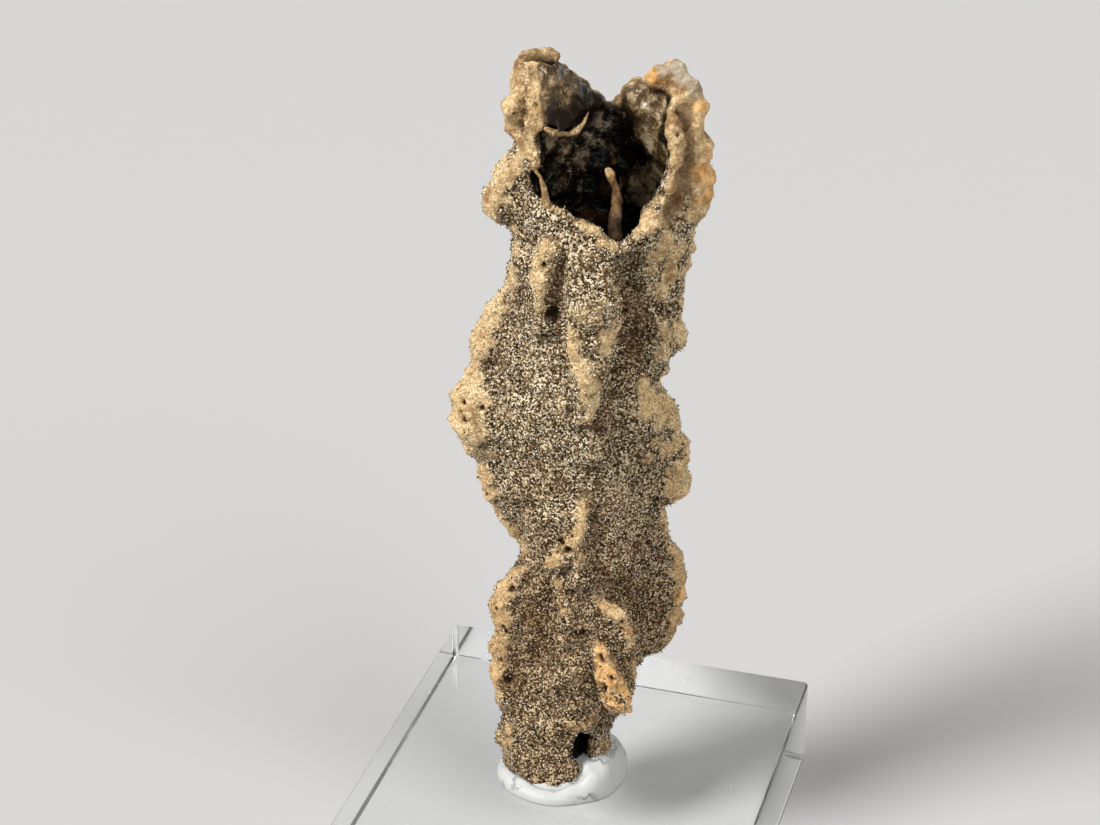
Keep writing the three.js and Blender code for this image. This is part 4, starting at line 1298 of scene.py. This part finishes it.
def fusedSand(look):
    material, wire, shader = newMaterial(
        "fused_sand", look["flat"][2],
        Specular_IOR_Level=look["specular"], Coat_Roughness=look["coatRoughness"])
    names = "inside", "ridge", "pit", "amber", "white", "smooth", "soot", "milky"
    inside, ridge, pit, amber, white, smooth, soot, milky = (wire.attribute(name) for name in names)

    # grains: one tone for each cell
    cell = wire.cells(1 / look["grain"], "Color")
    tone = cell.add("SeparateColor", None, {"Color": cell})
    middle = wire.cells(1 / look["grain"])
    shift = (wire.noise(look["drift"], 4) - 0.5) * 0.5
    dark, brown, tan, pale = look["flat"]
    flat = (tone + shift).clamped().ramp((0.15, dark), (0.38, brown), (0.62, tan), (0.9, pale))
    dark, brown, tan, pale = look["ridge"]
    high = (tone * 0.6 + 0.25 + shift).clamped().ramp((0.05, dark), (0.35, brown), (0.6, tan), (0.9, pale))
    crust = (ridge + shift).between(0.45, 0.85).blend(flat, high)

    # stains, tints and painted shade on the crust, each over the ones before it
    stains = wire.noise(look["stains"], 6, 0.72).between(0.46, 0.64)
    ambers = wire.noise(look["ambers"], 4).between(0.35, 0.6)
    whites = wire.noise(look["whites"], 4, 0.7).between(0.35, 0.6)
    mottles = 1 - wire.noise(look["mottles"], 5, 0.75).between(0.36, 0.58)
    crust = (stains * smooth * 0.85).blend(crust, look["stain"])
    # brown sand, painted shade in grooves and hollows, and the brown of the spike
    crust = (wire.attribute("brown") * 0.8).blend(crust, look["brown"])
    # darker towards the bottom, with blotches, and painted shade in hollows and under ridges
    crust = crust.shaded(wire.attribute("shade") * (1 - amber), look["shade"])
    crust = (amber * (ambers * 0.8 + tone * 0.2)).blend(crust, look["amber"])
    crust = (white * (whites * 0.7 + 0.15)).blend(crust, look["white"])
    crust = crust.shaded(mottles * (0.3 + 0.45 * smooth), look["mottle"])
    # near black in the pits, as painted shade in them; on the middle spike it darkens its brown
    crust = pit.between(0.3, 0.9).blend(crust, look["pit"])

    # glass: dark with milky, bubbly patches and brown seen through it, with painted glints, painted light
    # and painted deep shadow
    bubbles = wire.cells(look["bubbles"])
    # the milky and frosted balls lift the cloud as painted light where inner walls lie in shade
    cloud = wire.noise(look["clouds"], 6, 0.75) + 0.08 * milky + 0.1 * wire.attribute("frost")
    # the pale dots in the middle of the bubbles are painted glints
    milkAndGlints = (cloud.between(0.5, 0.72) + (0.25 - bubbles).clamped()).clamped()
    black, olive, light = look["glass"]
    glass = milkAndGlints.ramp((0, black), (0.4, olive), (1, light))
    glass = wire.noise(look["brownPatches"], 4).between(0.55, 0.7).blend(glass, look["brownGlass"])
    dim, middling, light = look["milkyGlass"]
    glass = milky.blend(glass, milkAndGlints.ramp((0, dim), (0.45, middling), (1, light)))
    # near black, matte and without coat where the glass is painted as deep shadow: under the horn, deep in
    # the tube and in the foot
    glass = soot.blend(glass, look["soot"])
    inside.blend(crust, glass).into(shader, "Base Color")

    fine = wire.noise(look["fine"], 5, 0.65)
    flow = wire.noise(look["flow"], 4)
    relief = (1 - middle) * (1 - inside) * (1 - 0.6 * smooth) + fine * (3.2 * smooth + 1.6 * inside)
    relief = relief + ((1 - bubbles) + 14 * flow) * inside + 4 * flow * smooth
    relief = relief + 5 * white * (1 - wire.cells(look["whiteLumps"]))
    rough = (0.62 - 0.15 * ridge) * (1 - inside) + (0.05 + 0.15 * milkAndGlints + 0.4 * soot) * inside
    rough.into(shader, "Roughness")
    (0.3 * inside * (1 - soot)).into(shader, "Coat Weight")
    relief.bump(0.5, 0.00012).into(shader, "Normal")
    return material


random.seed(5)
bm = makeTube(fulguriteShape)
addStrands(bm, strandShape, fulguriteShape["tube"])
addSheets(bm, strandShape, sandShape["pulls"])
fulgurite = newPiece("fulgurite_tube", bm)
remesh(fulgurite, sandShape["voxel"])
cutAway(fulgurite, strandShape)
remesh(fulgurite, sandShape["voxel"])
sculptSand(fulgurite.data, fulguriteShape, sandShape, strandShape["strands"], strandShape["sheets"])
scatterGrains(fulgurite.data, grainShape)
fulgurite.data.transform(toBlock)
fulgurite.data.shade_smooth()
sand = fusedSand(sandLook)
fulgurite.data.materials.clear()  # the cuts can leave an empty slot
fulgurite.data.materials.append(sand)
print("fulgurite", len(fulgurite.data.polygons), "faces")
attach(fulgurite, "root")
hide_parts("fulgurite")

spikes = makeSpikes(spikeShape, fulguriteShape["tube"])
spikes.data.materials.append(sand)
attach(spikes, "root")

putty = makePutty(puttyShape)
putty.data.materials.append(whitePutty(puttyShape))
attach(putty, "root")
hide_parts("mounting_putty")

block = makeBlock(blockShape, blockLow, blockHigh)
block.data.materials.append(clearAcrylic(blockShape))
block.visible_shadow = False
block.visible_diffuse = False  # or the light through it is counted twice on the floor
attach(block, "root")
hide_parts("acrylic_block")

dust = makeDust(dustShape, puttyShape, blockHigh)
dust.data.materials.append(tonedMaterial("dust", dustShape["colour"], dustShape["tones"], Roughness=0.8))
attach(dust, "root")

stageShape = {
    "floor": {"half": 3, "below": 0.0002, "colour": (0.46, 0.455, 0.45)},
    # where each lamp is, how many degrees wide it looks and its strength
    "lamps": {"key": ((-0.40, -0.38, 0.49), 19, 4.3), "fill": ((0.46, -0.28, 0.57), 34, 1.7)},
    "air": {"Color": (0.83, 0.82, 0.8, 1), "Strength": 0.3},
    "camera": {"at": (0.0570, -0.1970, 0.1571), "turn": (62.3, 0, 16.9), "lens": 80.1, "sensor": 36},
}


def makeFloor(shape):
    bm = bmesh.new()
    bmesh.ops.create_grid(bm, x_segments=1, y_segments=1, size=shape["half"])
    floor = newPiece("floor", bm)
    floor.data.transform(Matrix.Translation((0, 0, -shape["below"])))
    floor.data.materials.append(newMaterial("pale_floor", shape["colour"], Roughness=0.6)[0])
    return floor


def addLight(name, side, width, strength):
    # A far, wide lamp on that side, which lights the whole floor evenly
    data = bpy.data.lights.new(name, "SUN")
    data.angle, data.energy = math.radians(width), strength
    light = bpy.data.objects.new(name, data)
    light.rotation_euler = Vector(side).to_track_quat("Z", "Y").to_euler()
    bpy.context.scene.collection.objects.link(light)


def addCamera(shape):
    data = bpy.data.cameras.new("camera")
    data.lens, data.sensor_width, data.clip_start = shape["lens"], shape["sensor"], 0.01
    camera = bpy.data.objects.new("camera", data)
    camera.location = shape["at"]
    camera.rotation_euler = [math.radians(turn) for turn in shape["turn"]]
    bpy.context.scene.collection.objects.link(camera)
    bpy.context.scene.camera = camera


floor = makeFloor(stageShape["floor"])
for name, (side, width, strength) in stageShape["lamps"].items():
    addLight(name, side, width, strength)
addCamera(stageShape["camera"])
world = bpy.context.scene.world or bpy.data.worlds.new("world")
bpy.context.scene.world = world
world.use_nodes = True
for name, value in stageShape["air"].items():
    world.node_tree.nodes["Background"].inputs[name].default_value = value
bpy.context.scene.view_settings.view_transform = "Standard"
print("stage set")

bpy.context.view_layer.update()
